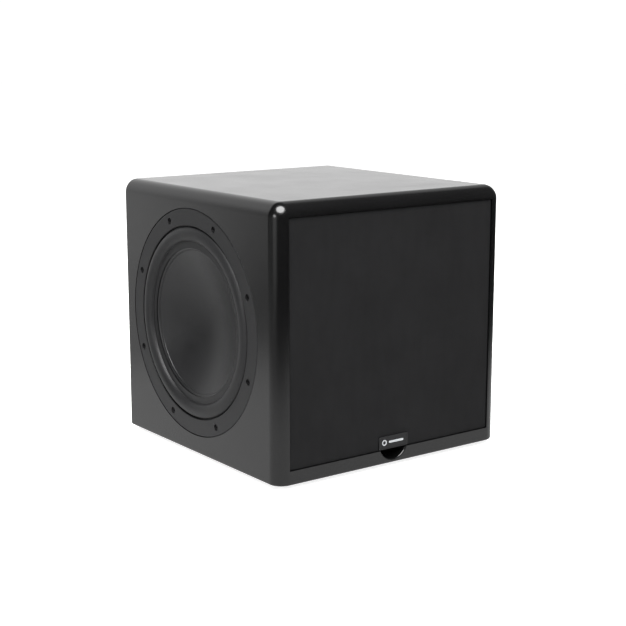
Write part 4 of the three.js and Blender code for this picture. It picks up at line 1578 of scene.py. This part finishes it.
@dataclass
class Grille:
    """The cloth drawn over a frame with four pegs, and the small badge at its foot."""

    cloth_thickness: float = 0.9
    corner: float = 2.2
    fold: float = 0.8
    snug: float = 0.35
    rail: float = 16.1
    low: Vector = field(default_factory=lambda: corners("grille_cloth")[0])
    high: Vector = field(default_factory=lambda: corners("grille_cloth")[1])

    def _cloth(self) -> None:
        """Builds the stretched cloth as one sheet: its face, a turned edge and the sides."""
        width = self.high.x - self.low.x + 2 * self.snug
        height = self.high.z - self.low.z + 2 * self.snug
        depth = self.high.y - self.low.y
        rings = self._levels(depth)
        shape = bmesh.new()
        laid = shape.loops.layers.uv.new("flat")
        flat: dict[bmesh.types.BMVert, tuple[float, float]] = {}
        loops = []
        for inset, sunk, spread in rings:
            radius = max(0.0, self.corner - inset)
            outline = self._corner_outline(width - 2 * inset, height - 2 * inset, radius)
            loop = []
            for x, z, way in outline:
                vertex = shape.verts.new((x, z, -sunk))
                flat[vertex] = (x + way[0] * spread, z + way[1] * spread)
                loop.append(vertex)
            loops.append(loop)
        for ring, inside in zip(loops, loops[1:]):
            bridge(shape, ring, inside)
        shape.faces.new(loops[-1])
        for face in shape.faces:
            for loop in face.loops:
                x, z = flat[loop.vert]
                loop[laid].uv = (x * MM, z * MM)
        bmesh.ops.recalc_face_normals(shape, faces=shape.faces)
        mesh = bpy.data.meshes.new("cloth")
        shape.to_mesh(mesh)
        shape.free()
        obj = temporary(mesh)
        thick = obj.modifiers.new("thickness", "SOLIDIFY")
        thick.thickness = self.cloth_thickness
        thick.offset = -1.0
        mesh = evaluated(obj)
        place = Place(Side.FRONT, (0.0, self.low.y, (self.low.z + self.high.z) / 2))
        sheet = Piece("grille_fabric", "grille", Kit.cloth, "grille_cloth", ("grille_cloth",), 60.0).show(
            mesh, place
        )

    def _levels(self, depth: float) -> list[tuple[float, float, float]]:
        """The cloth's rings from its back edge to its face.

        Args:
            depth: the tray's depth.

        Returns:
            (inset, distance behind the face, length of cloth beyond the outline) for each.
        """
        levels = [(0.0, depth, depth), (0.0, depth * 0.6, depth * 0.6)]
        for step, (out, up) in enumerate(quarter(self.fold, 4)):
            levels.append((self.fold - out, self.fold - up, self.fold * (1 - step / 4)))
        return [*levels, (self.fold + 6.0, 0.0, 0.0)]

    @staticmethod
    def _corner_outline(width: float, height: float, radius: float) -> list[tuple[float, float, Point]]:
        """A rectangle with rounded corners.

        Args:
            width: its width.
            height: its height.
            radius: its corners' radius.

        Returns:
            (x, z, outward direction) for each point.
        """
        points = []
        for i, k, turn in ((1, 1, 0), (-1, 1, 1), (-1, -1, 2), (1, -1, 3)):
            for step in range(5):
                angle = math.pi / 2 * (turn + step / 4)
                x = i * (width / 2 - radius) + radius * math.cos(angle)
                z = k * (height / 2 - radius) + radius * math.sin(angle)
                points.append((x, z, (math.cos(angle), math.sin(angle))))
        return points

    def _frame(self) -> None:
        """Builds the moulded frame, with its pegs, an inner rib and eased edges."""
        low, high = corners("grille_frame")
        width, height = high.x - low.x, high.z - low.z
        front, back = low.y, self.high.y
        place = Place(Side.FRONT, (0.0, back, (low.z + high.z) / 2))
        outer = raised(rectangle(width, height, 1.6), 0.0, back - front)
        hole = raised(rectangle(width - 2 * self.rail, height - 2 * self.rail, 3.0), -1.0, back - front + 1)
        frame_mesh = softened(carved(outer, [hole]), 0.4)
        profile = [(0.0, 1.0), (4.0, 1.0), (4.0, -8.0, 0.5), (3.0, -10.0, 0.8), (0.0, -10.0)]
        pegs = copied(turned(profile, 32), [shift(x, z - place.origin[2]) for x, z in peg_spots()])
        body = carved(frame_mesh, pegs, "UNION")
        piece = Piece("grille_frame_body", "grille", Kit.moulded, "grille_plastic", ("grille_frame",))
        piece.show(body, place)

    def _badge(self) -> None:
        """Builds the badge: a smoked plate with eased edges and a raised border, and a plain ring and bar."""
        low, high = corners("badge")
        width, height, rise = high.x - low.x, high.z - low.z, high.y - low.y
        place = Place(Side.FRONT, (0.0, high.y, (low.z + high.z) / 2))
        plate = raised(rectangle(width, height, 1.8), 0.0, rise)
        sunk = raised(rectangle(width - 2.4, height - 2.4, 1.2), rise - 0.35, rise + 1)
        Piece("badge_plate", "grille", Kit.badge, "badge_plastic", ("badge",), settled=True).show(
            softened(carved(plate, [sunk]), 0.15), place
        )
        foot, crown = rise - 0.4, rise - 0.05
        bar = softened(raised(rectangle(width * 0.5, 2.4, 1.1, (3.9, 0.0)), foot, crown, 6), 0.08)
        outer, inner, aside = 3.3, 2.1, 13.2
        ring = turned([(inner, foot), (outer, foot), (outer, crown), (inner, crown)], 48)
        piece = Piece("badge_mark", "grille", Kit.silver, "badge_plastic", settled=True)
        piece.show(gathered([bar, moved(ring, shift(-aside, 0.0))]), place)

    def build(self) -> None:
        """Builds the grille."""
        self._cloth()
        self._frame()
        self._badge()


# ---- Amplifier --------------------------------------------------------------------------------------


@dataclass
class Amplifier:
    """The plate at the back: controls, sockets, fins and the mains fittings."""

    place: Place
    copies: Copies
    knob_radius: float = 9.0
    switch_stroke: float = 4.0
    screw_reach: Point = (79.5, 112.5)
    drawer_drop: float = 10.5

    def _on_plate(self, x: float, z: float) -> Place:
        """A frame on the plate's outer face."""
        return Place(Side.REAR, (x, self.place.origin[1], z))

    def _at(self, node: str) -> Place:
        """The frame of a fitting on the plate's outer face."""
        spot = middle(node)
        return self._on_plate(spot.x, spot.z)

    def _hole(self, node: str, outline: Sequence[Point]) -> bpy.types.Mesh:
        """A cutter through the plate at a fitting."""
        return moved(raised(outline, -6.0, 2.0), self._at(node))

    @staticmethod
    def _disc(radius: float) -> list[Point]:
        """A circle's outline."""
        return [(radius * math.cos(a), radius * math.sin(a)) for a in (math.pi * k / 24 for k in range(48))]

    def _plate(self) -> None:
        """Builds the plate with its holes and eased edge, and its screws."""
        low, high = corners("amplifier_plate")
        width, height = high.x - low.x, high.z - low.z
        plate = moved(raised(rectangle(width, height, 4.0), low.y - high.y, 0.0), self.place)
        tools = [self._hole(node, self._disc(3.3)) for node in ("volume_knob", "crossover_knob")]
        tools.append(self._hole("status_light", self._disc(2.8)))
        tools += [self._hole(node, self._disc(5.9)) for node in ("input_jack_left", "input_jack_right")]
        for node in ("phase_switch", "mode_switch"):
            spot = middle(node)
            slot = self._on_plate(spot.x + self.switch_stroke / 2, spot.z)
            tools.append(moved(raised(rectangle(9.6, 5.6, 0.6), -6.0, 2.0), slot))
        tools.append(self._hole("power_rocker", rectangle(13.6, 20.1, 0.8)))
        tools.append(self._hole("power_inlet", rectangle(28.1, 30.6, 0.8)))
        nodes = ("amplifier_plate",)
        piece = Piece("amplifier_face", "cabinet", Kit.coated, "amplifier_metal", nodes, settled=True)
        piece.show(softened(carved(plate, tools), 0.35))
        self._plate_screws()

    def _plate_screws(self) -> None:
        """Builds the plate's ten cross-head screws."""
        shank = [(0.0, -2.0), (1.6, -2.0), (1.6, 0.0)]
        dome = [(3.1, 0.0), (3.1, 0.5, 0.3), (1.6, 1.7, 0.8), (0.0, 1.9)]
        cross, bar = (raised(rectangle(*sides), 0.9, 3.0) for sides in ((3.0, 0.7), (0.7, 3.0)))
        screw = carved(turned([*shank, *dome], 20, 2), [carved(cross, [bar], "UNION")])
        aside, above = self.screw_reach
        spots = [(i * aside, k * above) for i in (-1, 1) for k in (-1, -0.35, 0.35, 1)]
        spots += [(0.0, -above), (0.0, above)]
        heads = gathered(copied(screw, [shift(x, y) for x, y in spots]))
        Piece("plate_screws", "cabinet", Kit.blackened, "screw_metal").show(heads, self.place)

    def _knob(self, node: str) -> None:
        """Builds a ribbed control knob with a pointer line, and the scale printed round it.

        Args:
            node: the knob's CAD node, which is its body too.
        """
        place = self._at(node)
        radius = self.knob_radius
        profile = [
            (0.0, -9.0),
            (3.0, -9.0),
            (3.0, 1.0),
            (radius, 1.0, 0.4),
            (radius, 3.2, 0.3),
            (radius - 0.9, 3.8, 0.3),
            (radius - 1.2, 8.0),
            (radius - 1.5, 14.0, 0.8),
            (radius - 2.6, 13.6, 0.4),
            (0.0, 13.4),
        ]
        cap = turned(profile, 192)
        for vertex in cap.vertices:
            distance = vertex.co.xy.length
            if distance > radius - 1.9 and 3.9 < vertex.co.z < 13.9:
                turn = math.atan2(vertex.co.y, vertex.co.x)
                ripple = 1 - 0.045 * (0.5 + 0.5 * math.cos(24 * turn))
                vertex.co.x *= ripple
                vertex.co.y *= ripple
        Piece(node + "_cap", node, Kit.moulded, "control_plastic", (node,)).show(cap, place)
        line = raised(rectangle(0.9, 5.2, 0.4, (0.0, -4.6)), 13.2, 13.62)
        Piece(node + "_pointer", node, Kit.white_print, "control_plastic").show(line, place)
        tick = raised(rectangle(2.2, 0.6, 0.2), 0.0, 0.12)
        scale = self.copies.around(tick, Kit.white_print, 11, radius + 4.2, 120.0 - 180.0, 30.0)
        Piece(node + "_scale", "cabinet", Kit.white_print, "amplifier_metal").show(scale, place)

    def _switch(self, node: str) -> None:
        """Builds a slide switch's button with three grip ribs.

        Args:
            node: the switch's CAD node, which is its body too.
        """
        place = self._at(node)
        stem = raised(rectangle(5.0, 5.0, 0.5), -6.3, 2.0)
        rib = block((-0.3, -2.2, 1.6), (0.3, 2.2, 2.5))
        ribs = self.copies.along(rib, Kit.gloss_plastic, 3, 1.5)
        shoulder = raised(rectangle(5.0, 9.0), -6.3, -3.3)
        button = carved(carved(stem, [shoulder], "UNION"), [ribs], "UNION")
        Piece(node + "_button", node, Kit.gloss_plastic, "control_plastic", (node,), settled=True).show(
            softened(button, 0.15), place
        )

    def _jack(self, node: str, bush: Finish) -> None:
        """Builds a phono socket and its coloured bush.

        Args:
            node: the jack's CAD node.
            bush: the finish of its bush.
        """
        place = self._at(node)
        profile = [
            (0.0, -12.0),
            (5.0, -12.0),
            (5.0, -7.0),
            (4.2, -7.0),
            (4.2, -3.0),
            (5.6, -3.0),
            (5.6, 1.8, 0.5),
            (4.2, 1.8),
            (4.2, 8.5, 0.4),
            (2.8, 8.5, 0.3),
            (2.8, -6.0),
            (0.0, -6.0),
        ]
        Piece(node + "_sleeve", "cabinet", Kit.gilt, "gilt", (node,)).show(turned(profile, 48), place)
        ring = [(1.2, -5.0), (2.7, -5.0), (2.7, 7.9, 0.2), (1.2, 7.9, 0.3)]
        Piece(node + "_bush", "cabinet", bush, "control_plastic").show(turned(ring, 40), place)
        collar = [(5.8, 0.05), (7.4, 0.05), (7.4, 0.9, 0.4), (5.8, 0.9, 0.2)]
        Piece(node + "_collar", "cabinet", bush, "control_plastic").show(turned(collar, 48), place)

    def _fins(self) -> None:
        """Builds the heat sink: a base and eleven tapered fins."""
        low, high = corners("amplifier_heat_sink")
        width, height = high.x - low.x, high.z - low.z
        place = self._on_plate(0.0, (low.z + high.z) / 2)
        base = raised(rectangle(width, height, 0.8), 0.3, 3.0)
        root, tip = 1.2, 0.75
        outline = [(-root, 2.6), (root, 2.6), (root, 3.0), (tip, 12.0, 0.5), (-tip, 12.0, 0.5), (-root, 3.0)]
        fin = moved(raised(outline, -height / 2, height / 2), Matrix.Rotation(math.radians(90), 4, "X"))
        fins = self.copies.along(fin, Kit.anodised, 11, (width - 2.4) / 10)
        sink = softened(carved(base, [fins], "UNION"), 0.2)
        nodes = ("amplifier_heat_sink",)
        piece = Piece("heat_sink_fins", "cabinet", Kit.anodised, "amplifier_metal", nodes, settled=True)
        piece.show(sink, place)

    def _rocker(self) -> None:
        """Builds the power rocker, its lower half pressed in, in a thin bezel."""
        reach, half = 6.0, 8.25
        outline = [
            (-half, -6.5, 0.8),
            (half, -6.5, 0.8),
            (half, 3.4, 0.9),
            (0.0, 1.0, 3.0),
            (-half, 1.8, 0.9),
        ]
        body = moved(raised(outline, -reach, reach), Matrix.Rotation(math.radians(-90), 4, "Y"))
        place = self._on_plate(middle("power_rocker").x, middle("power_inlet").z)
        upright = place.in_millimetres().inverted() @ Matrix.Translation(place.origin)
        nodes = ("power_rocker",)
        finish, slot = Kit.gloss_plastic, "control_plastic"
        key = Piece("power_rocker_key", "power_rocker", finish, slot, nodes, settled=True)
        key.show(softened(moved(body, upright), 0.3), place)
        opening = raised(rectangle(13.2, 19.7, 0.7), -1.0, 3.0)
        frame_mesh = carved(raised(rectangle(16.6, 23.0, 1.2), 0.05, 1.0), [opening])
        bezel = Piece("rocker_bezel", "cabinet", Kit.moulded, "control_plastic", settled=True)
        bezel.show(softened(frame_mesh, 0.25), place)

    def _inlet(self) -> None:
        """Builds the mains inlet: body, eased bezel, shrouded socket, three pins and the drawer's slot."""
        low, high = corners("power_inlet")
        place = self._at("power_inlet")
        body = raised(rectangle(27.5, 30.0, 0.8), -27.0, 1.0)
        bezel = softened(raised(rectangle(high.x - low.x, high.z - low.z, 2.0), 0.3, 2.5), 0.5)
        whole = carved(body, [bezel], "UNION")
        socket = [(-12, 8, 1), (12, 8, 1), (12, -3.5, 0.6), (7.5, -8, 0.6), (-7.5, -8, 0.6), (-12, -3.5, 0.6)]
        hole = moved(raised(socket, -15.0, 4.0), shift(0.0, -4.5))
        slot = raised(rectangle(19.6, 6.6, 0.4, (0.0, self.drawer_drop)), -20.0, 4.0)
        shell = carved(whole, [hole, slot])
        Piece("mains_inlet", "cabinet", Kit.moulded, "control_plastic", ("power_inlet",)).show(shell, place)
        pins = [
            softened(raised(rectangle(2.0, 4.0, 0.3, (x, y - 4.5)), -15.5, -2.0), 0.35)
            for x, y in ((-7.0, 1.5), (0.0, -2.5), (7.0, 1.5))
        ]
        Piece("mains_pins", "cabinet", Kit.plated, "control_plastic").show(gathered(pins), place)

    def _drawer(self) -> None:
        """Builds the fuse drawer, with its well and nail slot."""
        place = self._on_plate(middle("fuse_drawer").x, middle("power_inlet").z - self.drawer_drop)
        drawer = softened(raised(rectangle(19.0, 6.0, 0.6), -19.7, 3.4), 0.3)
        nail = raised(rectangle(9.5, 1.6, 0.3, (0.0, 3.0)), 1.6, 2.6)
        well = raised(rectangle(14.0, 6.0, 0.4, (0.0, -1.5)), -17.7, -4.0)
        nodes = ("fuse_drawer",)
        piece = Piece("fuse_drawer_tray", "fuse_drawer", Kit.gloss_plastic, "control_plastic", nodes)
        piece.show(carved(drawer, [nail, well]), place)

    def _light(self) -> None:
        """Builds the status light's domed lens and its thin ring."""
        place = self._at("status_light")
        lens = [(0.0, -6.0), (2.5, -6.0), (2.5, 0.6, 0.4), (1.6, 1.3, 0.7), (0.0, 1.5)]
        piece = Piece("status_lens", "cabinet", Kit.lens, "light_lens", ("status_light",))
        piece.show(turned(lens, 40), place)
        ring = [(2.9, 0.03), (3.9, 0.03), (3.9, 0.7, 0.4), (2.9, 0.7, 0.2)]
        Piece("status_ring", "cabinet", Kit.plated, "control_plastic").show(turned(ring, 40), place)

    def build(self) -> None:
        """Builds the amplifier's outside."""
        self._plate()
        self._fins()
        for node in ("volume_knob", "crossover_knob"):
            self._knob(node)
        for node in ("phase_switch", "mode_switch"):
            self._switch(node)
        self._jack("input_jack_left", Kit.white)
        self._jack("input_jack_right", Kit.red)
        self._rocker()
        self._inlet()
        self._drawer()
        self._light()


# ---- Carried-over nodes -----------------------------------------------------------------------------


@dataclass
class Inside:
    """The CAD nodes that keep their shape, and their finishes."""

    finishes: dict[str, Finish] = field(
        default_factory=lambda: {
            "left_radiator_frame": Kit.pressed,
            "right_radiator_frame": Kit.pressed,
            "left_radiator_weight": Kit.plated,
            "right_radiator_weight": Kit.plated,
            "woofer_voice_coil": Kit.copper,
            "woofer_top_plate": Kit.plated,
            "woofer_magnet": Kit.ferrite,
            "woofer_back_plate": Kit.plated,
            "woofer_terminal": Kit.moulded,
            "amplifier_cover": Kit.plated,
            "amplifier_board": Kit.laminate,
            "amplifier_transformer": Kit.copper,
            "amplifier_capacitor": Kit.moulded,
            "speaker_lead": Kit.foot_rubber,
        }
    )

    def dress(self) -> None:
        """Gives each node its finish."""
        for node, finish in self.finishes.items():
            for obj in bpy.context.scene.objects:
                if obj.get("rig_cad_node") == node:
                    obj.data.materials.clear()
                    obj.data.materials.append(finish.material())
                    log.info("%s: dressed in %s", node, finish.name)


# ---- Studio -----------------------------------------------------------------------------------------


@dataclass(frozen=True)
class Glow:
    """A soft bright patch of the studio, by azimuth (0 along +Y, 90 along +X) and elevation, in degrees."""

    azimuth: float
    spread: float
    fade: float
    low: float
    high: float
    blur: float
    strength: float

    def level(self, facing: Callable[[float], Sock], elevation: Sock) -> Sock:
        """The patch's brightness in a direction.

        Args:
            facing: gives the cosine between the direction's azimuth and another.
            elevation: the direction's elevation, in degrees.

        Returns:
            Its brightness there.
        """
        edges = (math.cos(math.radians(angle)) for angle in (self.spread + self.fade, self.spread))
        across = facing(self.azimuth).step(*edges)
        rise = elevation.step(self.low - self.blur, self.low)
        return across * rise * elevation.step(self.high + self.blur, self.high) * self.strength


@dataclass(frozen=True)
class Lamp:
    """A round soft lamp that points at the subwoofer: its direction, half angle and radiance."""

    name: str
    azimuth: float
    elevation: float
    spread: float
    radiance: float
    mirrored: bool = True
    distance: float = 2.2

    def hang(self, aim: Vector) -> None:
        """Makes the lamp.

        Args:
            aim: the point that it lights.
        """
        a, e = math.radians(self.azimuth), math.radians(self.elevation)
        way = Vector((math.sin(a) * math.cos(e), math.cos(a) * math.cos(e), math.sin(e)))
        radius = self.distance * math.tan(math.radians(self.spread))
        data = bpy.data.lights.new(self.name, "AREA")
        data.shape = "DISK"
        data.size = 2 * radius
        data.energy = self.radiance * (math.pi * radius) ** 2
        lamp = bpy.data.objects.new(self.name, data)
        bpy.context.scene.collection.objects.link(lamp)
        lamp.location = aim + way * self.distance
        lamp.rotation_euler = (-way).to_track_quat("-Z", "Y").to_euler()
        lamp.visible_glossy = self.mirrored
        lamp.visible_camera = False


@dataclass
class Studio:
    """A white floor, a graded surround for the lacquer to mirror, soft lamps, and the camera."""

    azimuth: float = -36.6
    elevation: float = 11.24
    distance: float = 1.66439
    aside: float = 0.0035075
    above: float = -0.005429
    lens: float = 79.68
    centre: Vector = field(default_factory=lambda: Vector((0.0, -0.007, 0.1575)))
    glows: tuple[Glow, ...] = (
        Glow(24.0, 30.0, 14.0, -10.0, 11.0, 6.0, 1.5),
        Glow(8.0, 26.0, 14.0, 8.0, 34.0, 10.0, 1.25),
        Glow(48.0, 18.0, 12.0, 8.0, 44.0, 8.0, 0.7),
        Glow(-20.0, 6.0, 14.0, -10.0, 30.0, 8.0, 1.35),
        Glow(-75.0, 12.0, 30.0, -14.0, 0.0, 4.0, 0.35),
        Glow(-103.0, 8.0, 12.0, -8.8, 14.0, 1.5, 1.3),
        Glow(95.0, 40.0, 20.0, 8.0, 60.0, 10.0, 0.2),
    )
    lamps: tuple[Lamp, ...] = (
        Lamp("key", -147.0, 60.0, 25.0, 15.0),
        Lamp("strip", -104.0, 12.0, 8.0, 7.5),
        Lamp("fill", 110.0, 35.0, 20.0, 1.5, False),
        Lamp("rear", 20.0, 50.0, 20.0, 2.5, False),
    )

    def _camera(self) -> None:
        """Sets up the camera."""
        a, e = math.radians(self.azimuth), math.radians(self.elevation)
        right = Vector((math.cos(a), math.sin(a), 0.0))
        back = Vector((math.sin(a) * math.cos(e), -math.cos(a) * math.cos(e), math.sin(e)))
        data = bpy.data.cameras.new("camera")
        data.lens = self.lens
        data.sensor_width = 36.0
        data.clip_end = 50.0
        camera = bpy.data.objects.new("camera", data)
        bpy.context.scene.collection.objects.link(camera)
        aim = self.centre + right * self.aside + back.cross(right) * self.above
        camera.location = aim + back * self.distance
        camera.rotation_euler = (-back).to_track_quat("-Z", "Y").to_euler()
        bpy.context.scene.camera = camera

    @staticmethod
    def _facing(tree: Tree, way: Sock) -> Callable[[float], Sock]:
        """Compares a direction's azimuth with others.

        Args:
            tree: the tree.
            way: the direction, or a point on the floor.

        Returns:
            A function that gives the cosine between its azimuth and another, in degrees.
        """
        parts = tree.node("ShaderNodeSeparateXYZ", inputs={0: way})
        x, y = (Sock(tree, parts.outputs[i]) for i in (0, 1))
        reach = (x * x + y * y).math("SQRT", x * x + y * y).most(1e-4)
        return lambda azimuth: (
            x * math.sin(math.radians(azimuth)) + y * math.cos(math.radians(azimuth))
        ) / reach

    def _walls(self) -> None:
        """Grades the surround: white to the eye, and a dark room with soft patches to a mirror."""
        world = bpy.data.worlds.new("studio")
        bpy.context.scene.world = world
        world.use_nodes = True
        tree = Tree(world.node_tree)
        way = tree.make("ShaderNodeTexCoord", output="Generated")
        height = Sock(tree, tree.node("ShaderNodeSeparateXYZ", inputs={0: way}).outputs[2])
        elevation = height.math("ARCSINE", height) * math.degrees(1.0)
        facing = self._facing(tree, way)
        level: Value = 0.07
        for glow in self.glows:
            level = glow.level(facing, elevation).most(level)
        dark = tree.make("ShaderNodeBackground", {}, {"Strength": level})
        white = tree.make("ShaderNodeBackground", {}, {"Color": (1.0, 1.0, 1.0, 1.0), "Strength": 1.05})
        eye = tree.make("ShaderNodeLightPath", output="Is Camera Ray")
        seen = tree.make("ShaderNodeMixShader", {}, {0: eye, 1: dark, 2: white})
        tree.node("ShaderNodeOutputWorld", inputs={"Surface": seen})

    @staticmethod
    def _disc(name: str, radius: float, height: float, material: bpy.types.Material) -> bpy.types.Object:
        """Lays a round sheet on the floor.

        Args:
            name: its name.
            radius: its radius, in metres.
            height: its height, in metres.
            material: its material.

        Returns:
            The sheet.
        """
        shape = bmesh.new()
        bmesh.ops.create_circle(shape, cap_ends=True, segments=96, radius=radius)
        mesh = bpy.data.meshes.new(name)
        shape.to_mesh(mesh)
        shape.free()
        mesh.transform(Matrix.Translation((0.0, 0.0, height)))
        mesh.materials.append(material)
        floor = bpy.data.objects.new(name, mesh)
        bpy.context.scene.collection.objects.link(floor)
        return floor

    def _floor(self) -> None:
        """Lays the white floor, and under it the pool of light that the lacquer mirrors instead."""
        paint = Paint("white_floor")
        tone = paint.noise(400.0, 2.0)
        paint.feed(
            Base_Color=paint.mixed(tone, (0.78, 0.78, 0.78), (0.82, 0.82, 0.82)),
            Roughness=0.9,
            Specular_IOR_Level=0.0,
            Emission_Color=(1.0, 1.0, 1.0),
            Emission_Strength=0.86,
        )
        floor = self._disc("floor", 14.0, 0.0, paint.material)
        floor.visible_glossy = False
        pool = Paint("floor_pool")
        spot = pool.make("ShaderNodeTexCoord", output="Object")
        facing = self._facing(pool, spot)
        reach = pool.make("ShaderNodeVectorMath", {"operation": "LENGTH"}, {0: spot}, "Value")
        near = reach.step(1.0, 0.42) * 1.05
        far = facing(12.0).step(math.cos(math.radians(66.0)), math.cos(math.radians(34.0))) * 1.0
        left = facing(-75.0).step(math.cos(math.radians(48.0)), math.cos(math.radians(12.0))) * 0.35
        glow = near.most(far).most(left).most(0.06)
        shade = pool.make("ShaderNodeEmission", {}, {"Strength": glow})
        pool.node("ShaderNodeOutputMaterial", inputs={"Surface": shade}).is_active_output = True
        mirrored = self._disc("floor_pool", 1.6, -0.002, pool.material)
        mirrored.visible_camera = False
        mirrored.visible_diffuse = False
        mirrored.visible_shadow = False

    def build(self) -> None:
        """Builds the studio."""
        scene = bpy.context.scene
        scene.view_settings.view_transform = "Standard"
        scene.view_settings.look = "None"
        self._camera()
        self._walls()
        self._floor()
        for lamp in self.lamps:
            lamp.hang(self.centre)


# ---- The whole --------------------------------------------------------------------------------------


def place_of_face(node: str, side: Side) -> Place:
    """The frame of a chassis in its panel.

    Args:
        node: a ring or disc of the chassis.
        side: the way that it faces.

    Returns:
        A frame on the chassis's axis, at the panel's outer face.
    """
    spot = middle(node)
    if side is Side.FRONT:
        spot.y = corners("front_baffle")[0].y
    elif side is Side.LEFT:
        spot.x = corners("left_panel")[0].x
    else:
        spot.x = corners("right_panel")[1].x
    return Place(side, tuple(spot))


def main() -> None:
    """Builds every sub-assembly in order."""
    logging.basicConfig(level=logging.INFO, format="%(name)s: %(message)s")
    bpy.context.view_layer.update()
    Studio().build()
    copies = Copies()
    left = place_of_face("left_radiator_ring", Side.LEFT)
    right = place_of_face("right_radiator_ring", Side.RIGHT)
    front = place_of_face("woofer_basket", Side.FRONT)
    plate_box = corners("amplifier_plate")
    plate = Place(Side.REAR, (0.0, plate_box[1].y, middle("amplifier_plate").z))
    Cabinet().build([left, right], front, plate)
    screws = tuple(f"left_radiator_screw_{k}" for k in range(1, 9))
    Radiator("left_radiator", "left_diaphragm", left, copies).build(screws)
    Radiator("right_radiator", "right_diaphragm", right, copies).build()
    Woofer("woofer", "woofer_diaphragm", front, copies).build()
    Grille().build()
    Amplifier(plate, copies).build()
    Inside().dress()


if __name__ == "__main__":
    main()
